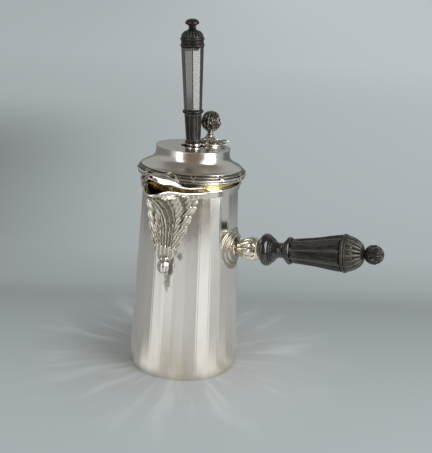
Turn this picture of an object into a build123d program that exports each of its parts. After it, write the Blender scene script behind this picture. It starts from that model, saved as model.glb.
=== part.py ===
from build123d import *
import math
import os

# A silver chocolate pot: a tapered pot of flat facets with a leafed spout, a side handle of
# turned and carved ebony, a hinged lid with a hole, a finial that swings off that hole, and
# a stirrer that stands in the pot through it. Millimetres, +Z up. The origin is the middle
# of the base on the surface that the pot stands on. The spout points to -Y, the handle to
# +X and the lid's hinge to +Y. The pieces lie as they are seen: lid ajar, finial swung off.

# ---- driving sizes: the pot --------------------------------------------------------------
facet_count = 28
base_radius = 53.0          # over the facets' edges, on the ground
wall_height = 176.6
wall_top_radius = 44.3      # over the facets' edges
wall = 1.2
band_height = 4.8
band_proud = 1.2            # how far the plain band stands out over the facets
rim_wire_radius = 1.35

# ---- driving sizes: the spout ------------------------------------------------------------
spout_reach = 78.7          # from the pot's axis to the lip's tip
spout_tip_radius = 9.0
spout_wall = 1.2
spout_foot = 148.0          # height at which the spout leaves the wall
lip_rise = 5.4              # how far the lip's sides rise over the rim
lip_wire_radius = 1.1
wire_stop = 46.0            # degrees from the spout's line where the rim's wire meets the lip's
leaf_foot = 117.0
leaf_top = 178.0
leaf_half_width = 25.0
leaf_thickness = 1.8
bud_radius = 5.2
bud_below_leaf = 4.4        # from the leaf's foot down to the bud's middle
bud_half_height = 6.4

# ---- driving sizes: the handle, as distances along its own line from the pot's axis ------
handle_tilt = 8.6
handle_root_height = 116.1  # where the handle's line meets the pot's axis
boss_radius = 19.5
boss_step = 1.3
socket_start = 48.0
socket_root = 5.0           # how far the socket goes on inwards, down to the wall
socket_neck = 52.0
socket_neck_radius = 6.3
socket_belly = 66.0
socket_belly_radius = 10.5
socket_end = 72.6
socket_mouth_radius = 9.0
flute_count = 12
neck_start = 75.0
neck_disc_radius = 14.7
neck_waist_radius = 6.9
neck_collar_radius = 12.5
neck_end = 105.5
tenon_clearance = 0.3
grip_sides = 8
grip_start_radius = 10.8
grip_end_radius = 16.6
grip_end = 153.4
cap_ring_radius = 17.3
cap_end = 171.0
cone_radius = 9.0
cone_end = 190.0
rod_radius = 1.6
tenon_radius = 4.6
cross_pin_radius = 0.9

# ---- driving sizes: the lid, measured with the lid shut ----------------------------------
lid_ajar = 3.24             # degrees that the lid stands open
hinge_reach = 49.6
hinge_height = 182.57
knuckle_radius = 2.1
knuckle_length = 7.0
hinge_pin_radius = 0.9
lid_foot = 184.6
flange_radius = 46.7
flange_height = 192.55
moulding_radius = 50.7
collar_radius = 34.0
lid_top_height = 210.7
lid_gauge = 1.2
hole_radius = 11.3
bezel_depth = 6.6
bezel_wall = 0.9
hood_ridge_height = 195.8

# ---- driving sizes: the swinging finial --------------------------------------------------
pivot_arm = 17.0            # from the pivot to the hole's middle
pivot_bearing = 122.3       # degrees from +X
cover_open = 75.4           # degrees that the finial stands swung off the hole
cover_radius = 12.6
cover_gauge = 1.2
pivot_radius = 1.5
pivot_head_radius = 2.8
rosette_height = 7.0
finial_stem_radius = 2.8
artichoke_radius = 9.1
artichoke_foot = 11.2       # over the lid's top
artichoke_height = 19.2
tab_length = 16.6
tab_turn = -54.0            # degrees from the cover's own +X

# ---- driving sizes: the stirrer, as heights along its own line from the ground -----------
stirrer_lean_x = -0.0473    # sideways for each millimetre up
stirrer_lean_y = -0.0228
stirrer_top = 327.7
stirrer_foot = 2.0          # the top of the pot's bottom
knob_radius = 6.1
cap_dome_radius = 9.8
stirrer_ring_radius = 10.9
band_radius = 10.0
handle_top_radius = 10.2
handle_foot_radius = 8.2
handle_top = 303.6
handle_foot = 247.5
handle_facets = 8
facet_turn = 25.7           # turns a corner of the handle towards the front
collar_ring_radius = 9.6
shaft_top_radius = 7.9
shaft_foot_radius = 6.7
shaft_foot = 219.0
tube_radius = 7.15
tube_foot = 150.0
tube_socket = 45.0          # how far the wooden rod goes up into the tube
rod_wood_radius = 4.2
head_radius = 8.4
head_height = 34.0
head_blades = 8
head_blade = 2.4

# ---- clearances --------------------------------------------------------------------------
seat = 0.05                 # round a fixed rod or tenon
running = 0.06              # round a pin that turns
slide_gap = 0.3             # between pieces that move past each other

# ---- worked out --------------------------------------------------------------------------
facet_angle = 360 / facet_count
flat_ratio = math.cos(math.radians(facet_angle / 2))
wall_slope = (base_radius - wall_top_radius) / wall_height
band_radius_out = wall_top_radius + band_proud
rim_height = wall_height + band_height + 0.9
rim_wire_centre = band_radius_out + 0.05
rim_inner = wall_top_radius * flat_ratio - wall
bud_middle = leaf_foot - bud_below_leaf
beyond = 1.0                # how far a cut runs past the piece it goes through


def wall_radius(height):
    """The radius over the facets' edges at a height."""
    return base_radius - wall_slope * height


# ---- planes ------------------------------------------------------------------------------
def upright(frame, turn=0):
    """The plane through a frame's axis: local x outwards at a turn, local y along the axis."""
    turned_x = frame.x_dir.rotate(Axis((0, 0, 0), frame.z_dir), turn)
    return Plane(origin=frame.origin, x_dir=turned_x, z_dir=turned_x.cross(frame.z_dir))


def level(frame, height):
    """The plane square to a frame's axis at a height along it."""
    return frame.offset(height)


def axis_of(frame):
    return Axis(frame.origin, frame.z_dir)


pot_frame = Plane.XY
hinge_point = (0, hinge_reach, hinge_height)
lid_place = Location(hinge_point) * Location((0, 0, 0), (-lid_ajar, 0, 0))
lid_frame = Plane(lid_place * Location((0, -hinge_reach, -hinge_height)))
tilt = math.radians(handle_tilt)
handle_frame = Plane(
    origin=(0, 0, handle_root_height),
    x_dir=(-math.sin(tilt), 0, math.cos(tilt)),
    z_dir=(math.cos(tilt), 0, math.sin(tilt)),
)
hole_middle = lid_frame.from_local_coords(Vector(0, 0, lid_top_height))
stirrer_way = Vector(stirrer_lean_x, stirrer_lean_y, 1).normalized()
stirrer_frame = Plane(
    origin=hole_middle - stirrer_way * (hole_middle.Z / stirrer_way.Z),
    x_dir=Vector(0, 1, 0).cross(stirrer_way),
    z_dir=stirrer_way,
)


# ---- helpers -----------------------------------------------------------------------------
def draw(start, *steps):
    """A closed outline: each step is a point for a line, or (middle, end) for an arc."""
    at = start
    for step in steps:
        if isinstance(step[0], tuple):
            ThreePointArc(at, step[0], step[1])
            at = step[1]
        else:
            Line(at, step)
            at = step
    Line(at, start)


def turned(frame, start, *steps, turn=0, sweep_angle=360):
    """A solid turned about a frame's axis from an outline of (radius, height) points."""
    with BuildPart() as piece:
        with BuildSketch(upright(frame, turn)):
            with BuildLine():
                draw(start, *steps)
            make_face()
        revolve(axis=axis_of(frame), revolution_arc=sweep_angle)
    return piece.part


def rod(frame, radius, low, high):
    """A plain round bar along a frame's axis."""
    with BuildPart() as piece:
        with BuildSketch(level(frame, low)):
            Circle(radius)
        extrude(amount=high - low)
    return piece.part


def facetted(low, high, out=0.0, inset=0.0):
    """The pot's tapered body of flat facets, stood out or set in, between two heights."""
    with BuildPart() as piece:
        for height in (low, high):
            with BuildSketch(Plane.XY.offset(height)):
                RegularPolygon(wall_radius(height) + (out - inset) / flat_ratio, facet_count)
        loft(ruled=True)
    return piece.part


def save(name, part):
    part.label = name
    export_step(part, f"parts/{name}.step")


os.makedirs("parts", exist_ok=True)

# ---- the spout's form --------------------------------------------------------------------
# each level of the spout: height, reach of its tip, half spread of its root, tip radius
spout_levels = (
    (spout_foot, wall_radius(spout_foot) + 0.6, 6.0, 3.0),
    (158.0, 49.6, 15.0, 4.0),
    (168.0, 56.6, 27.0, 5.5),
    (177.0, 67.4, 38.0, 7.4),
    (rim_height + 2.6, spout_reach, 48.0, spout_tip_radius),
    (rim_height + 10.0, spout_reach + 6.0, 52.0, spout_tip_radius + 1.0),
)


def spout_section(height, reach, spread, tip, inset):
    """One level outline: straight sides tangent to a round tip, closed inside the pot."""
    root_r = wall_radius(min(height, wall_height)) - 1.0
    root = Vector(root_r * math.sin(math.radians(spread)), -root_r * math.cos(math.radians(spread)))
    middle = Vector(0, -(reach - tip))
    way = root - middle
    lean = math.atan2(way.Y, way.X) - math.acos(tip / way.length)
    radius = tip - inset
    side = Vector(math.cos(lean), math.sin(lean))
    touch = middle + side * radius
    root = root - side * inset
    with BuildSketch(Plane.XY.offset(height)) as section:
        with BuildLine():
            draw(
                (root.X, root.Y),
                (touch.X, touch.Y),
                ((0, middle.Y - radius), (-touch.X, touch.Y)),
                (-root.X, root.Y),
            )
        make_face()
    return section.sketch


def spout_solid(inset):
    with BuildPart() as piece:
        for height, reach, spread, tip in spout_levels:
            add(spout_section(height, reach, spread, tip, inset))
        loft(ruled=True)
    return piece.part


def lip_line(lift=0.0):
    """The lip's edge seen from the side, as (y, z) points from the rim out past the tip."""
    top = rim_height + lip_rise + lift
    return (
        (-30.0, rim_height + lift),
        (-46.0, rim_height + 0.4 + lift),
        (-53.4, rim_height + 1.8 + lift),
        (-63.0, rim_height + 4.6 + lift),
        (-70.0, top),
        (-74.5, top - 0.6),
        (-spout_reach, rim_height + 2.6 + lift),
        (-spout_reach - 8.0, rim_height - 0.5 + lift),
    )


def above(line, top):
    """Everything above a side line, as one block across the pot."""
    with BuildPart() as piece:
        with BuildSketch(Plane.YZ):
            with BuildLine():
                Polyline(*line, (line[-1][0], top), (line[0][0], top), close=True)
            make_face()
        extrude(amount=base_radius, both=True)
    return piece.part


spout_outer = spout_solid(0.0)
spout_inner = spout_solid(spout_wall)
lip_cut = above(lip_line(), rim_height + 30.0)
pot_solid = facetted(0, wall_height)
band_solid = rod(pot_frame, band_radius_out, wall_height - 3.0, rim_height + 12.0)
wall_bore = facetted(-1.0, wall_height + 1.0, inset=wall)

# ---- the pot -----------------------------------------------------------------------------
with BuildPart() as body_wall:
    add(pot_solid)
    add(wall_bore, mode=Mode.SUBTRACT)
    add(spout_inner, mode=Mode.SUBTRACT)
save("body_wall", body_wall.part)

with BuildPart() as base_plate:
    add(facetted(0, stirrer_foot, inset=wall))
save("base_plate", base_plate.part)

with BuildPart() as rim_band:
    add(turned(
        pot_frame,
        (rim_inner, wall_height),
        (band_radius_out - 0.5, wall_height),
        (band_radius_out, wall_height + 0.5),
        (band_radius_out, rim_height - rim_wire_radius),
        (rim_inner, rim_height - rim_wire_radius),
    ))
    add(spout_inner, mode=Mode.SUBTRACT)
save("rim_band", rim_band.part)

with BuildPart() as rim_wire:
    with BuildSketch(upright(pot_frame, wire_stop - 90)):
        with Locations((rim_wire_centre, rim_height)):
            Circle(rim_wire_radius)
        with Locations((rim_wire_centre - 1.2, rim_height)):
            Rectangle(2.4, 2 * rim_wire_radius)
    revolve(axis=Axis.Z, revolution_arc=360 - 2 * wire_stop)
save("rim_wire", rim_wire.part)

with BuildPart() as spout:
    add(spout_outer)
    add(spout_inner, mode=Mode.SUBTRACT)
    add(lip_cut, mode=Mode.SUBTRACT)
    add(pot_solid, mode=Mode.SUBTRACT)
    add(band_solid, mode=Mode.SUBTRACT)
save("spout", spout.part)

with BuildPart() as spout_wire:
    edge_points = (
        (34.0, -30.5, rim_height),
        (26.5, -44.5, rim_height + 0.4),
        (19.6, -55.5, rim_height + 2.3),
        (12.7, -66.5, rim_height + 5.2),
        (8.2, -73.6, rim_height + 4.9),
        (3.4, -spout_reach + 0.6, rim_height + 2.9),
    )
    mirrored = tuple((-x, y, z) for x, y, z in reversed(edge_points))
    with BuildLine() as lip_path:
        FilletPolyline(*edge_points, *mirrored, radius=3.0)
    with BuildSketch(Plane(origin=lip_path.line @ 0, z_dir=lip_path.line % 0)):
        Circle(lip_wire_radius)
    sweep(path=lip_path.line)
    add(rim_wire.part, mode=Mode.SUBTRACT)
    add(spout.part, mode=Mode.SUBTRACT)
save("spout_wire", spout_wire.part)

# the acanthus leaf lies over the wall and the spout's underside, wide at the rim
# its edge goes in lobes: shares of its half width and of its rise, one arc to each lobe
leaf_rise = leaf_top - leaf_foot
leaf_lobes = (
    ((0.120, 0.005), (0.220, 0.035)),
    ((0.340, 0.060), (0.385, 0.120)),
    ((0.490, 0.165), (0.495, 0.240)),
    ((0.620, 0.310), (0.600, 0.390)),
    ((0.760, 0.460), (0.740, 0.560)),
    ((0.900, 0.660), (0.865, 0.750)),
    ((1.020, 0.880), (1.000, 1.000)),
)


def leaf_spot(shares):
    return (shares[0] * leaf_half_width, leaf_foot + shares[1] * leaf_rise)


with BuildPart() as spout_leaf:
    with BuildSketch(Plane.XZ.offset(35)):
        with BuildLine():
            lobes = ((leaf_spot(swell), leaf_spot(end)) for swell, end in leaf_lobes)
            draw((0, leaf_foot), *lobes, (0, leaf_top))
        make_face()
        mirror(about=Plane.YZ)
    extrude(amount=spout_reach)
    leaf_cover = facetted(leaf_foot - 4, wall_height, out=leaf_thickness)
    add(leaf_cover + spout_solid(-leaf_thickness), mode=Mode.INTERSECT)
    add(pot_solid, mode=Mode.SUBTRACT)
    add(spout_outer, mode=Mode.SUBTRACT)
    add(band_solid, mode=Mode.SUBTRACT)
save("spout_leaf", spout_leaf.part)

bud_frame = Plane(origin=(0, -wall_radius(bud_middle) - 2.4, bud_middle))
with BuildPart() as leaf_bud:
    add(turned(
        bud_frame,
        (0, -bud_half_height),
        ((bud_radius * 0.78, -bud_half_height * 0.7), (bud_radius, 0)),
        ((bud_radius * 0.82, bud_half_height * 0.6), (bud_radius * 0.5, bud_half_height * 0.85)),
        ((bud_radius * 0.95, bud_half_height * 1.15), (bud_radius * 0.6, bud_half_height * 1.45)),
        (0, bud_half_height * 1.5),
    ))
    add(pot_solid, mode=Mode.SUBTRACT)
    add(spout_leaf.part, mode=Mode.SUBTRACT)
save("leaf_bud", leaf_bud.part)

# ---- the handle --------------------------------------------------------------------------
socket_solid = turned(
    handle_frame,
    (0, socket_start - socket_root),
    (8.8, socket_start - socket_root),
    (8.8, socket_start + 1.6),
    ((9.8, socket_start + 2.6), (8.6, socket_start + 3.6)),
    (socket_neck_radius + 0.5, socket_start + 4.0),
    ((socket_neck_radius, socket_neck + 1.4), (socket_neck_radius + 0.8, socket_neck + 4.0)),
    (socket_belly_radius - 0.6, socket_belly - 4.0),
    ((socket_belly_radius, socket_belly), (socket_belly_radius - 0.9, socket_belly + 3.4)),
    (socket_mouth_radius - 1.0, socket_end - 1.6),
    (socket_mouth_radius, socket_end),
    (0, socket_end),
)
tenon_foot = socket_neck + 5.0
with BuildPart() as handle_socket:
    add(socket_solid)
    add(rod(handle_frame, tenon_radius + seat, tenon_foot, socket_end + beyond), mode=Mode.SUBTRACT)
    for number in range(flute_count):
        around = Axis(handle_frame.origin, handle_frame.z_dir)
        way = handle_frame.x_dir.rotate(around, (number + 0.5) * 360 / flute_count)
        low = handle_frame.origin + handle_frame.z_dir * (socket_neck + 3) + way * 8.2
        high = handle_frame.origin + handle_frame.z_dir * socket_belly + way * 11.6
        with BuildSketch(Plane(origin=low, z_dir=high - low)):
            Circle(1.3)
        extrude(amount=(high - low).length, mode=Mode.SUBTRACT)
    add(pot_solid, mode=Mode.SUBTRACT)
    pin_plane = Plane(
        origin=handle_frame.origin + handle_frame.z_dir * (tenon_foot + 6),
        z_dir=handle_frame.x_dir,
    )
    with BuildSketch(pin_plane):
        Circle(cross_pin_radius + seat)
    extrude(amount=socket_belly_radius + 2, both=True, mode=Mode.SUBTRACT)
save("handle_socket", handle_socket.part)

boss_reach = wall_radius(handle_root_height)
boss_height = handle_root_height + boss_reach * math.tan(tilt)
boss_frame = Plane(origin=(0, 0, boss_height), z_dir=(1, 0, 0))
with BuildPart() as handle_boss:
    for step, share in enumerate((1.0, 0.8, 0.62)):
        low, high = boss_height - boss_radius - beyond, boss_height + boss_radius + beyond
        out = facetted(low, high, out=boss_step * (step + 1))
        add(out & rod(boss_frame, boss_radius * share, boss_reach - boss_radius, boss_reach + boss_radius))
    add(pot_solid, mode=Mode.SUBTRACT)
    add(socket_solid, mode=Mode.SUBTRACT)
save("handle_boss", handle_boss.part)

with BuildPart() as socket_ring:
    add(turned(
        handle_frame,
        (tenon_radius + seat, socket_end),
        (socket_mouth_radius, socket_end),
        ((socket_mouth_radius + 0.9, (socket_end + neck_start) / 2), (socket_mouth_radius, neck_start)),
        (tenon_radius + seat, neck_start),
    ))
save("socket_ring", socket_ring.part)

with BuildPart() as handle_neck:
    add(turned(
        handle_frame,
        (0, tenon_foot + tenon_clearance),
        (tenon_radius, tenon_foot + tenon_clearance),
        (tenon_radius, neck_start),
        (socket_mouth_radius + 0.6, neck_start),
        ((neck_disc_radius - 1.4, neck_start + 2.6), (neck_disc_radius, neck_start + 6.3)),
        ((neck_disc_radius - 0.6, neck_start + 8.6), (neck_disc_radius - 2.6, neck_start + 10.6)),
        (10.6, neck_start + 11.6),
        (10.4, neck_start + 13.2),
        ((neck_waist_radius + 0.6, neck_start + 16.6), (neck_waist_radius, neck_start + 20)),
        ((neck_waist_radius + 0.9, neck_start + 23.6), (neck_collar_radius - 2, neck_start + 26)),
        ((neck_collar_radius, neck_start + 28), (neck_collar_radius - 1.2, neck_end)),
        (rod_radius + seat, neck_end),
        (rod_radius + seat, neck_end - 20),
        (0, neck_end - 20),
    ))
    with BuildSketch(pin_plane):
        Circle(cross_pin_radius + seat)
    extrude(amount=tenon_radius + 2, both=True, mode=Mode.SUBTRACT)
save("handle_neck", handle_neck.part)

with BuildPart() as handle_pin:
    with BuildSketch(pin_plane):
        Circle(cross_pin_radius)
    extrude(amount=socket_belly_radius - 1.4, both=True)
save("handle_pin", handle_pin.part)

grip_length = grip_end - neck_end
with BuildPart() as handle_grip:
    for share, swell in ((0, 0), (0.4, 0.4), (0.72, 0.8), (1, 1)):
        radius = grip_start_radius + (grip_end_radius - grip_start_radius) * swell
        with BuildSketch(level(handle_frame, neck_end + grip_length * share)):
            RegularPolygon(radius, grip_sides, rotation=180 / grip_sides)
    loft(ruled=True)
    add(rod(handle_frame, rod_radius + seat, neck_end - 1, grip_end + 1), mode=Mode.SUBTRACT)
save("handle_grip", handle_grip.part)

with BuildPart() as handle_cap:
    add(turned(
        handle_frame,
        (rod_radius + seat, grip_end),
        (cap_ring_radius - 1.2, grip_end),
        ((cap_ring_radius, grip_end + 2.6), (cap_ring_radius - 1.4, grip_end + 5.2)),
        ((12.8, cap_end - 5.4), (6.3, cap_end)),
        (rod_radius + seat, cap_end),
    ))
save("handle_cap", handle_cap.part)

with BuildPart() as handle_finial:
    add(turned(
        handle_frame,
        (rod_radius + seat, cap_end),
        (4.6, cap_end),
        (4.6, cap_end + 1.3),
        (3.0, cap_end + 2.2),
        ((7.4, cap_end + 4.2), (cone_radius, cap_end + 8)),
        ((7.6, cap_end + 12.4), (5.4, cap_end + 15)),
        ((3.7, cone_end - 1.5), (0.8, cone_end)),
        (0, cone_end),
        (0, cap_end + 8),
        (rod_radius + seat, cap_end + 8),
    ))
save("handle_finial", handle_finial.part)

handle_rod = rod(handle_frame, rod_radius, neck_end - 19.7, cap_end + 7.7)
save("handle_rod", handle_rod)

# ---- the hinge ---------------------------------------------------------------------------
knuckle_step = knuckle_length + slide_gap
hinge_line = Plane(origin=hinge_point, x_dir=(0, 1, 0), z_dir=(1, 0, 0))


def knuckle(middle, bore):
    """One hinge knuckle, centred at a place along the hinge's line."""
    start = Plane(origin=(middle - knuckle_length / 2, hinge_reach, hinge_height), z_dir=(1, 0, 0))
    with BuildPart() as piece:
        with BuildSketch(start):
            Circle(knuckle_radius)
            Circle(bore, mode=Mode.SUBTRACT)
        extrude(amount=knuckle_length)
    return piece.part


def web(frame, points, middle):
    """A flat plate under or over a knuckle, from a side outline of (y, z) points."""
    side = Plane(
        origin=frame.from_local_coords(Vector(middle - knuckle_length / 2, 0, 0)),
        x_dir=frame.y_dir,
        z_dir=frame.x_dir,
    )
    with BuildPart() as piece:
        with BuildSketch(side):
            with BuildLine():
                Polyline(*points, close=True)
            make_face()
        extrude(amount=knuckle_length)
    return piece.part


bore_half = 1.5 * knuckle_length + slide_gap + beyond
hinge_bore = rod(hinge_line, hinge_pin_radius, -bore_half, bore_half)
pot_web = (
    (band_radius_out - 3.0, wall_height - 3.0),
    (band_radius_out + 0.9, wall_height - 3.0),
    (hinge_reach + 1.6, hinge_height - 1.4),
    (hinge_reach, hinge_height),
    (hinge_reach - knuckle_radius, hinge_height),
    (band_radius_out + 0.4, rim_height - rim_wire_radius - 0.1),
    (band_radius_out - 3.0, rim_height - rim_wire_radius - 0.1),
)
with BuildPart() as hinge_leaf_pot:
    with BuildSketch(Plane.XY.offset(wall_height - 3.0)):
        with Locations((0, band_radius_out - 1.0)):
            Rectangle(2 * knuckle_step + knuckle_length, 4.0)
    extrude(amount=4.0)
    for side in (-1, 1):
        add(web(pot_frame, pot_web, side * knuckle_step))
        add(knuckle(side * knuckle_step, hinge_pin_radius))
    add(pot_solid, mode=Mode.SUBTRACT)
    add(band_solid, mode=Mode.SUBTRACT)
    add(rim_wire.part, mode=Mode.SUBTRACT)
    add(hinge_bore, mode=Mode.SUBTRACT)
save("hinge_leaf_pot", hinge_leaf_pot.part)

pin_half = knuckle_step + knuckle_length / 2 + 0.8
hinge_pin = rod(
    Plane(origin=(0, hinge_reach, hinge_height), z_dir=(1, 0, 0)), hinge_pin_radius, -pin_half, pin_half
)
save("hinge_pin", hinge_pin)

# ---- the lid -----------------------------------------------------------------------------
moulding_ring = turned(
    lid_frame,
    (rim_inner + 1.2, lid_foot),
    (moulding_radius - 2.7, lid_foot),
    ((moulding_radius - 0.9, lid_foot + 0.9), (moulding_radius - 1.5, lid_foot + 2.2)),
    ((moulding_radius + 0.1, lid_foot + 3.7), (moulding_radius - 1.5, lid_foot + 5.2)),
    ((moulding_radius - 1.1, lid_foot + 6.3), (moulding_radius - 2.4, lid_foot + 7.1)),
    (flange_radius, flange_height - 0.3),
    (flange_radius, flange_height),
    (rim_inner + 1.2, flange_height),
)


def cove(share):
    """A height in the lid's cove, as a share of the rise from its flange to its top."""
    return flange_height + share * (lid_top_height - flange_height)


shell_outline = (
    (collar_radius - 0.3, lid_top_height - lid_gauge),
    (collar_radius - 0.3, cove(0.758)),
    ((collar_radius + 1.2, cove(0.510)), (collar_radius + 5.2, cove(0.372))),
    ((collar_radius + 9.0, cove(0.262)), (flange_radius, cove(0.102))),
    (flange_radius, flange_height),
    (flange_radius - lid_gauge, flange_height),
    (flange_radius - lid_gauge, cove(0.058)),
    ((collar_radius + 8.5, cove(0.201)), (collar_radius + 4.6, cove(0.311))),
    ((collar_radius + 0.2, cove(0.460)), (collar_radius - 1.5, cove(0.758))),
    (collar_radius - 1.5, lid_top_height - lid_gauge),
)
with BuildPart() as lid_shell:
    add(turned(lid_frame, *shell_outline))
save("lid_shell", lid_shell.part)

# the hood: an arch over the spout, wide at the rim, open at its front like a beak
# each station: place, half width, foot over the pot's rim, ridge below its highest point
hood_stations = (
    (-41.0, 28.6, 0.2, 3.6),
    (-50.0, 23.0, 0.2, 2.8),
    (-58.0, 18.0, 1.9, 1.8),
    (-66.0, 12.9, 5.9, 0.9),
    (-73.0, 8.3, 6.6, 0.3),
    (-spout_reach, 3.0, 7.1, 0.0),
)


def hood_solid(inset, drop):
    """The arch through every station, as one loft square to the spout's line."""
    with BuildPart() as piece:
        for place, spread, foot, ridge in hood_stations:
            wide = spread - inset
            top = hood_ridge_height - ridge - inset
            low = rim_height + foot - drop
            middle = lid_frame.from_local_coords(Vector(0, place, 0))
            with BuildSketch(Plane(origin=middle, x_dir=lid_frame.x_dir, z_dir=-lid_frame.y_dir)):
                with BuildLine():
                    bulge = low + (top - low) * 0.72
                    Polyline((-wide, low), (wide, low))
                    Spline((wide, low), (wide * 0.62, bulge), (0, top), (-wide * 0.62, bulge), (-wide, low))
                make_face()
        loft(ruled=True)
    return piece.part


mouth_line = (
    (-68.0, rim_height - 4.3),
    (-68.0, rim_height + 6.3),
    (-73.0, rim_height + 7.5),
    (-76.0, hood_ridge_height - 3.4),
    (-spout_reach + 1.1, hood_ridge_height - 1.2),
    (-spout_reach - 11.3, hood_ridge_height - 0.9),
    (-spout_reach - 11.3, rim_height - 4.3),
)
with BuildPart() as mouth_cut:
    middle = lid_frame.from_local_coords(Vector(0, 0, 0))
    with BuildSketch(Plane(origin=middle, x_dir=lid_frame.y_dir, z_dir=lid_frame.x_dir)):
        with BuildLine():
            Polyline(*mouth_line, close=True)
        make_face()
    extrude(amount=20, both=True)

hood_outer = hood_solid(0, 0)
with BuildPart() as lid_hood:
    add(hood_outer)
    add(hood_solid(lid_gauge, 2.0), mode=Mode.SUBTRACT)
    add(mouth_cut.part, mode=Mode.SUBTRACT)
    add(rod(lid_frame, rim_inner + 1.2, rim_height - 10, hood_ridge_height + 10), mode=Mode.SUBTRACT)
    add(lid_shell.part, mode=Mode.SUBTRACT)
save("lid_hood", lid_hood.part)

with BuildPart() as lid_moulding:
    add(moulding_ring)
    add(hood_outer, mode=Mode.SUBTRACT)
save("lid_moulding", lid_moulding.part)

bezel_out = rim_inner - 2 * slide_gap
with BuildPart() as lid_bezel:
    add(turned(
        lid_frame,
        (bezel_out - bezel_wall, lid_foot - bezel_depth),
        (bezel_out, lid_foot - bezel_depth),
        (bezel_out, lid_foot),
        (rim_inner + 1.2, lid_foot),
        (rim_inner + 1.2, lid_foot + bezel_wall),
        (bezel_out - bezel_wall, lid_foot + bezel_wall),
        turn=wire_stop - 90,
        sweep_angle=360 - 2 * wire_stop,
    ))
save("lid_bezel", lid_bezel.part)

pivot = (
    pivot_arm * math.cos(math.radians(pivot_bearing)),
    pivot_arm * math.sin(math.radians(pivot_bearing)),
)
pivot_frame = Plane(
    origin=lid_frame.from_local_coords(Vector(*pivot, 0)), x_dir=lid_frame.x_dir, z_dir=lid_frame.z_dir
)
through_top = (lid_top_height - lid_gauge - beyond, lid_top_height + beyond)
with BuildPart() as lid_top:
    add(rod(lid_frame, collar_radius + 0.35, lid_top_height - lid_gauge, lid_top_height))
    fillet(lid_top.edges().filter_by(GeomType.CIRCLE), radius=0.45)
    add(rod(lid_frame, hole_radius, *through_top), mode=Mode.SUBTRACT)
    add(rod(pivot_frame, pivot_radius, *through_top), mode=Mode.SUBTRACT)
save("lid_top", lid_top.part)

lid_web = (
    (hinge_reach - 0.2, hinge_height),
    (hinge_reach + knuckle_radius, hinge_height),
    (moulding_radius + 1.5, lid_foot - 0.2),
    (moulding_radius + 1.5, flange_height - 1.5),
    (moulding_radius - 1.6, flange_height - 1.5),
    (moulding_radius - 1.6, lid_foot - 0.2),
)
with BuildPart() as hinge_leaf_lid:
    add(web(lid_frame, lid_web, 0))
    add(knuckle(0, hinge_pin_radius))
    add(moulding_ring, mode=Mode.SUBTRACT)
    add(rod(lid_frame, moulding_radius - 1.7, lid_foot, flange_height), mode=Mode.SUBTRACT)
    add(rod(hinge_line, hinge_pin_radius + running, -bore_half, bore_half), mode=Mode.SUBTRACT)
save("hinge_leaf_lid", hinge_leaf_lid.part)

# ---- the finial that swings off the hole -------------------------------------------------
cover_foot = lid_top_height + slide_gap
cover_top = cover_foot + cover_gauge
with BuildPart() as pivot_pin:
    add(turned(
        pivot_frame,
        (0, lid_top_height - lid_gauge - 0.9),
        (pivot_head_radius - 0.4, lid_top_height - lid_gauge - 0.9),
        (pivot_head_radius - 0.4, lid_top_height - lid_gauge),
        (pivot_radius, lid_top_height - lid_gauge),
        (pivot_radius, cover_top + 0.25),
        (pivot_head_radius, cover_top + 0.25),
        (pivot_head_radius, cover_top + 0.8),
        ((pivot_head_radius * 0.75, cover_top + 1.7), (0.5, cover_top + 2.0)),
        (0, cover_top + 2.0),
    ))
save("pivot_pin", pivot_pin.part)

cover_place = Location((*pivot, 0)) * Location((0, 0, 0), (0, 0, cover_open)) * Location((-pivot[0], -pivot[1], 0))
cover_frame = Plane(lid_frame.location * cover_place)
with BuildPart() as cover_plate:
    with BuildSketch(level(cover_frame, cover_foot)):
        Circle(cover_radius)
        with Locations(pivot):
            Circle(pivot_head_radius + 0.9)
        with Locations(Location((pivot[0] / 2, pivot[1] / 2), pivot_bearing)):
            Rectangle(pivot_arm, 2 * pivot_head_radius)
        with Locations(pivot):
            Circle(pivot_radius + running, mode=Mode.SUBTRACT)
        Circle(pivot_radius + seat, mode=Mode.SUBTRACT)
    extrude(amount=cover_gauge)
save("cover_plate", cover_plate.part)


def star(count, outer, inner):
    """The corners of a star, tips and hollows by turns."""
    corners = []
    for number in range(2 * count):
        radius = outer if number % 2 == 0 else inner
        angle = math.pi * number / count
        corners.append((radius * math.cos(angle), radius * math.sin(angle)))
    return corners


rosette_levels = ((0.0, 12.2, 9.6), (1.2, 12.0, 9.0), (3.0, 8.4, 6.4), (5.4, 4.6, 3.8), (rosette_height, 3.3, 2.9))
through_rosette = (cover_top - beyond, cover_top + rosette_height + beyond)
with BuildPart() as cover_rosette:
    for lift, tips, hollows in rosette_levels:
        with BuildSketch(level(cover_frame, cover_top + lift)):
            Polygon(*star(8, tips, hollows), align=None)
    loft(ruled=True)
    add(rod(cover_frame, pivot_radius + seat, *through_rosette), mode=Mode.SUBTRACT)
    add(rod(pivot_frame, pivot_head_radius + 0.5, *through_rosette), mode=Mode.SUBTRACT)
save("cover_rosette", cover_rosette.part)

with BuildPart() as cover_tab:
    with BuildSketch(upright(cover_frame, tab_turn)):
        with BuildLine():
            draw(
                (8.0, cover_top + 0.9),
                (8.0, cover_top + 4.4),
                ((12.4, cover_top + 3.4), (tab_length - 0.6, cover_top + 4.2)),
                ((tab_length + 0.8, cover_top + 3.0), (tab_length - 0.8, cover_top + 1.8)),
                ((12.4, cover_top + 1.2), (9.6, cover_top + 0.6)),
            )
        make_face()
    extrude(amount=3.0, both=True)
    add(cover_rosette.part, mode=Mode.SUBTRACT)
save("cover_tab", cover_tab.part.solids().sort_by(SortBy.VOLUME)[-1])

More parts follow.
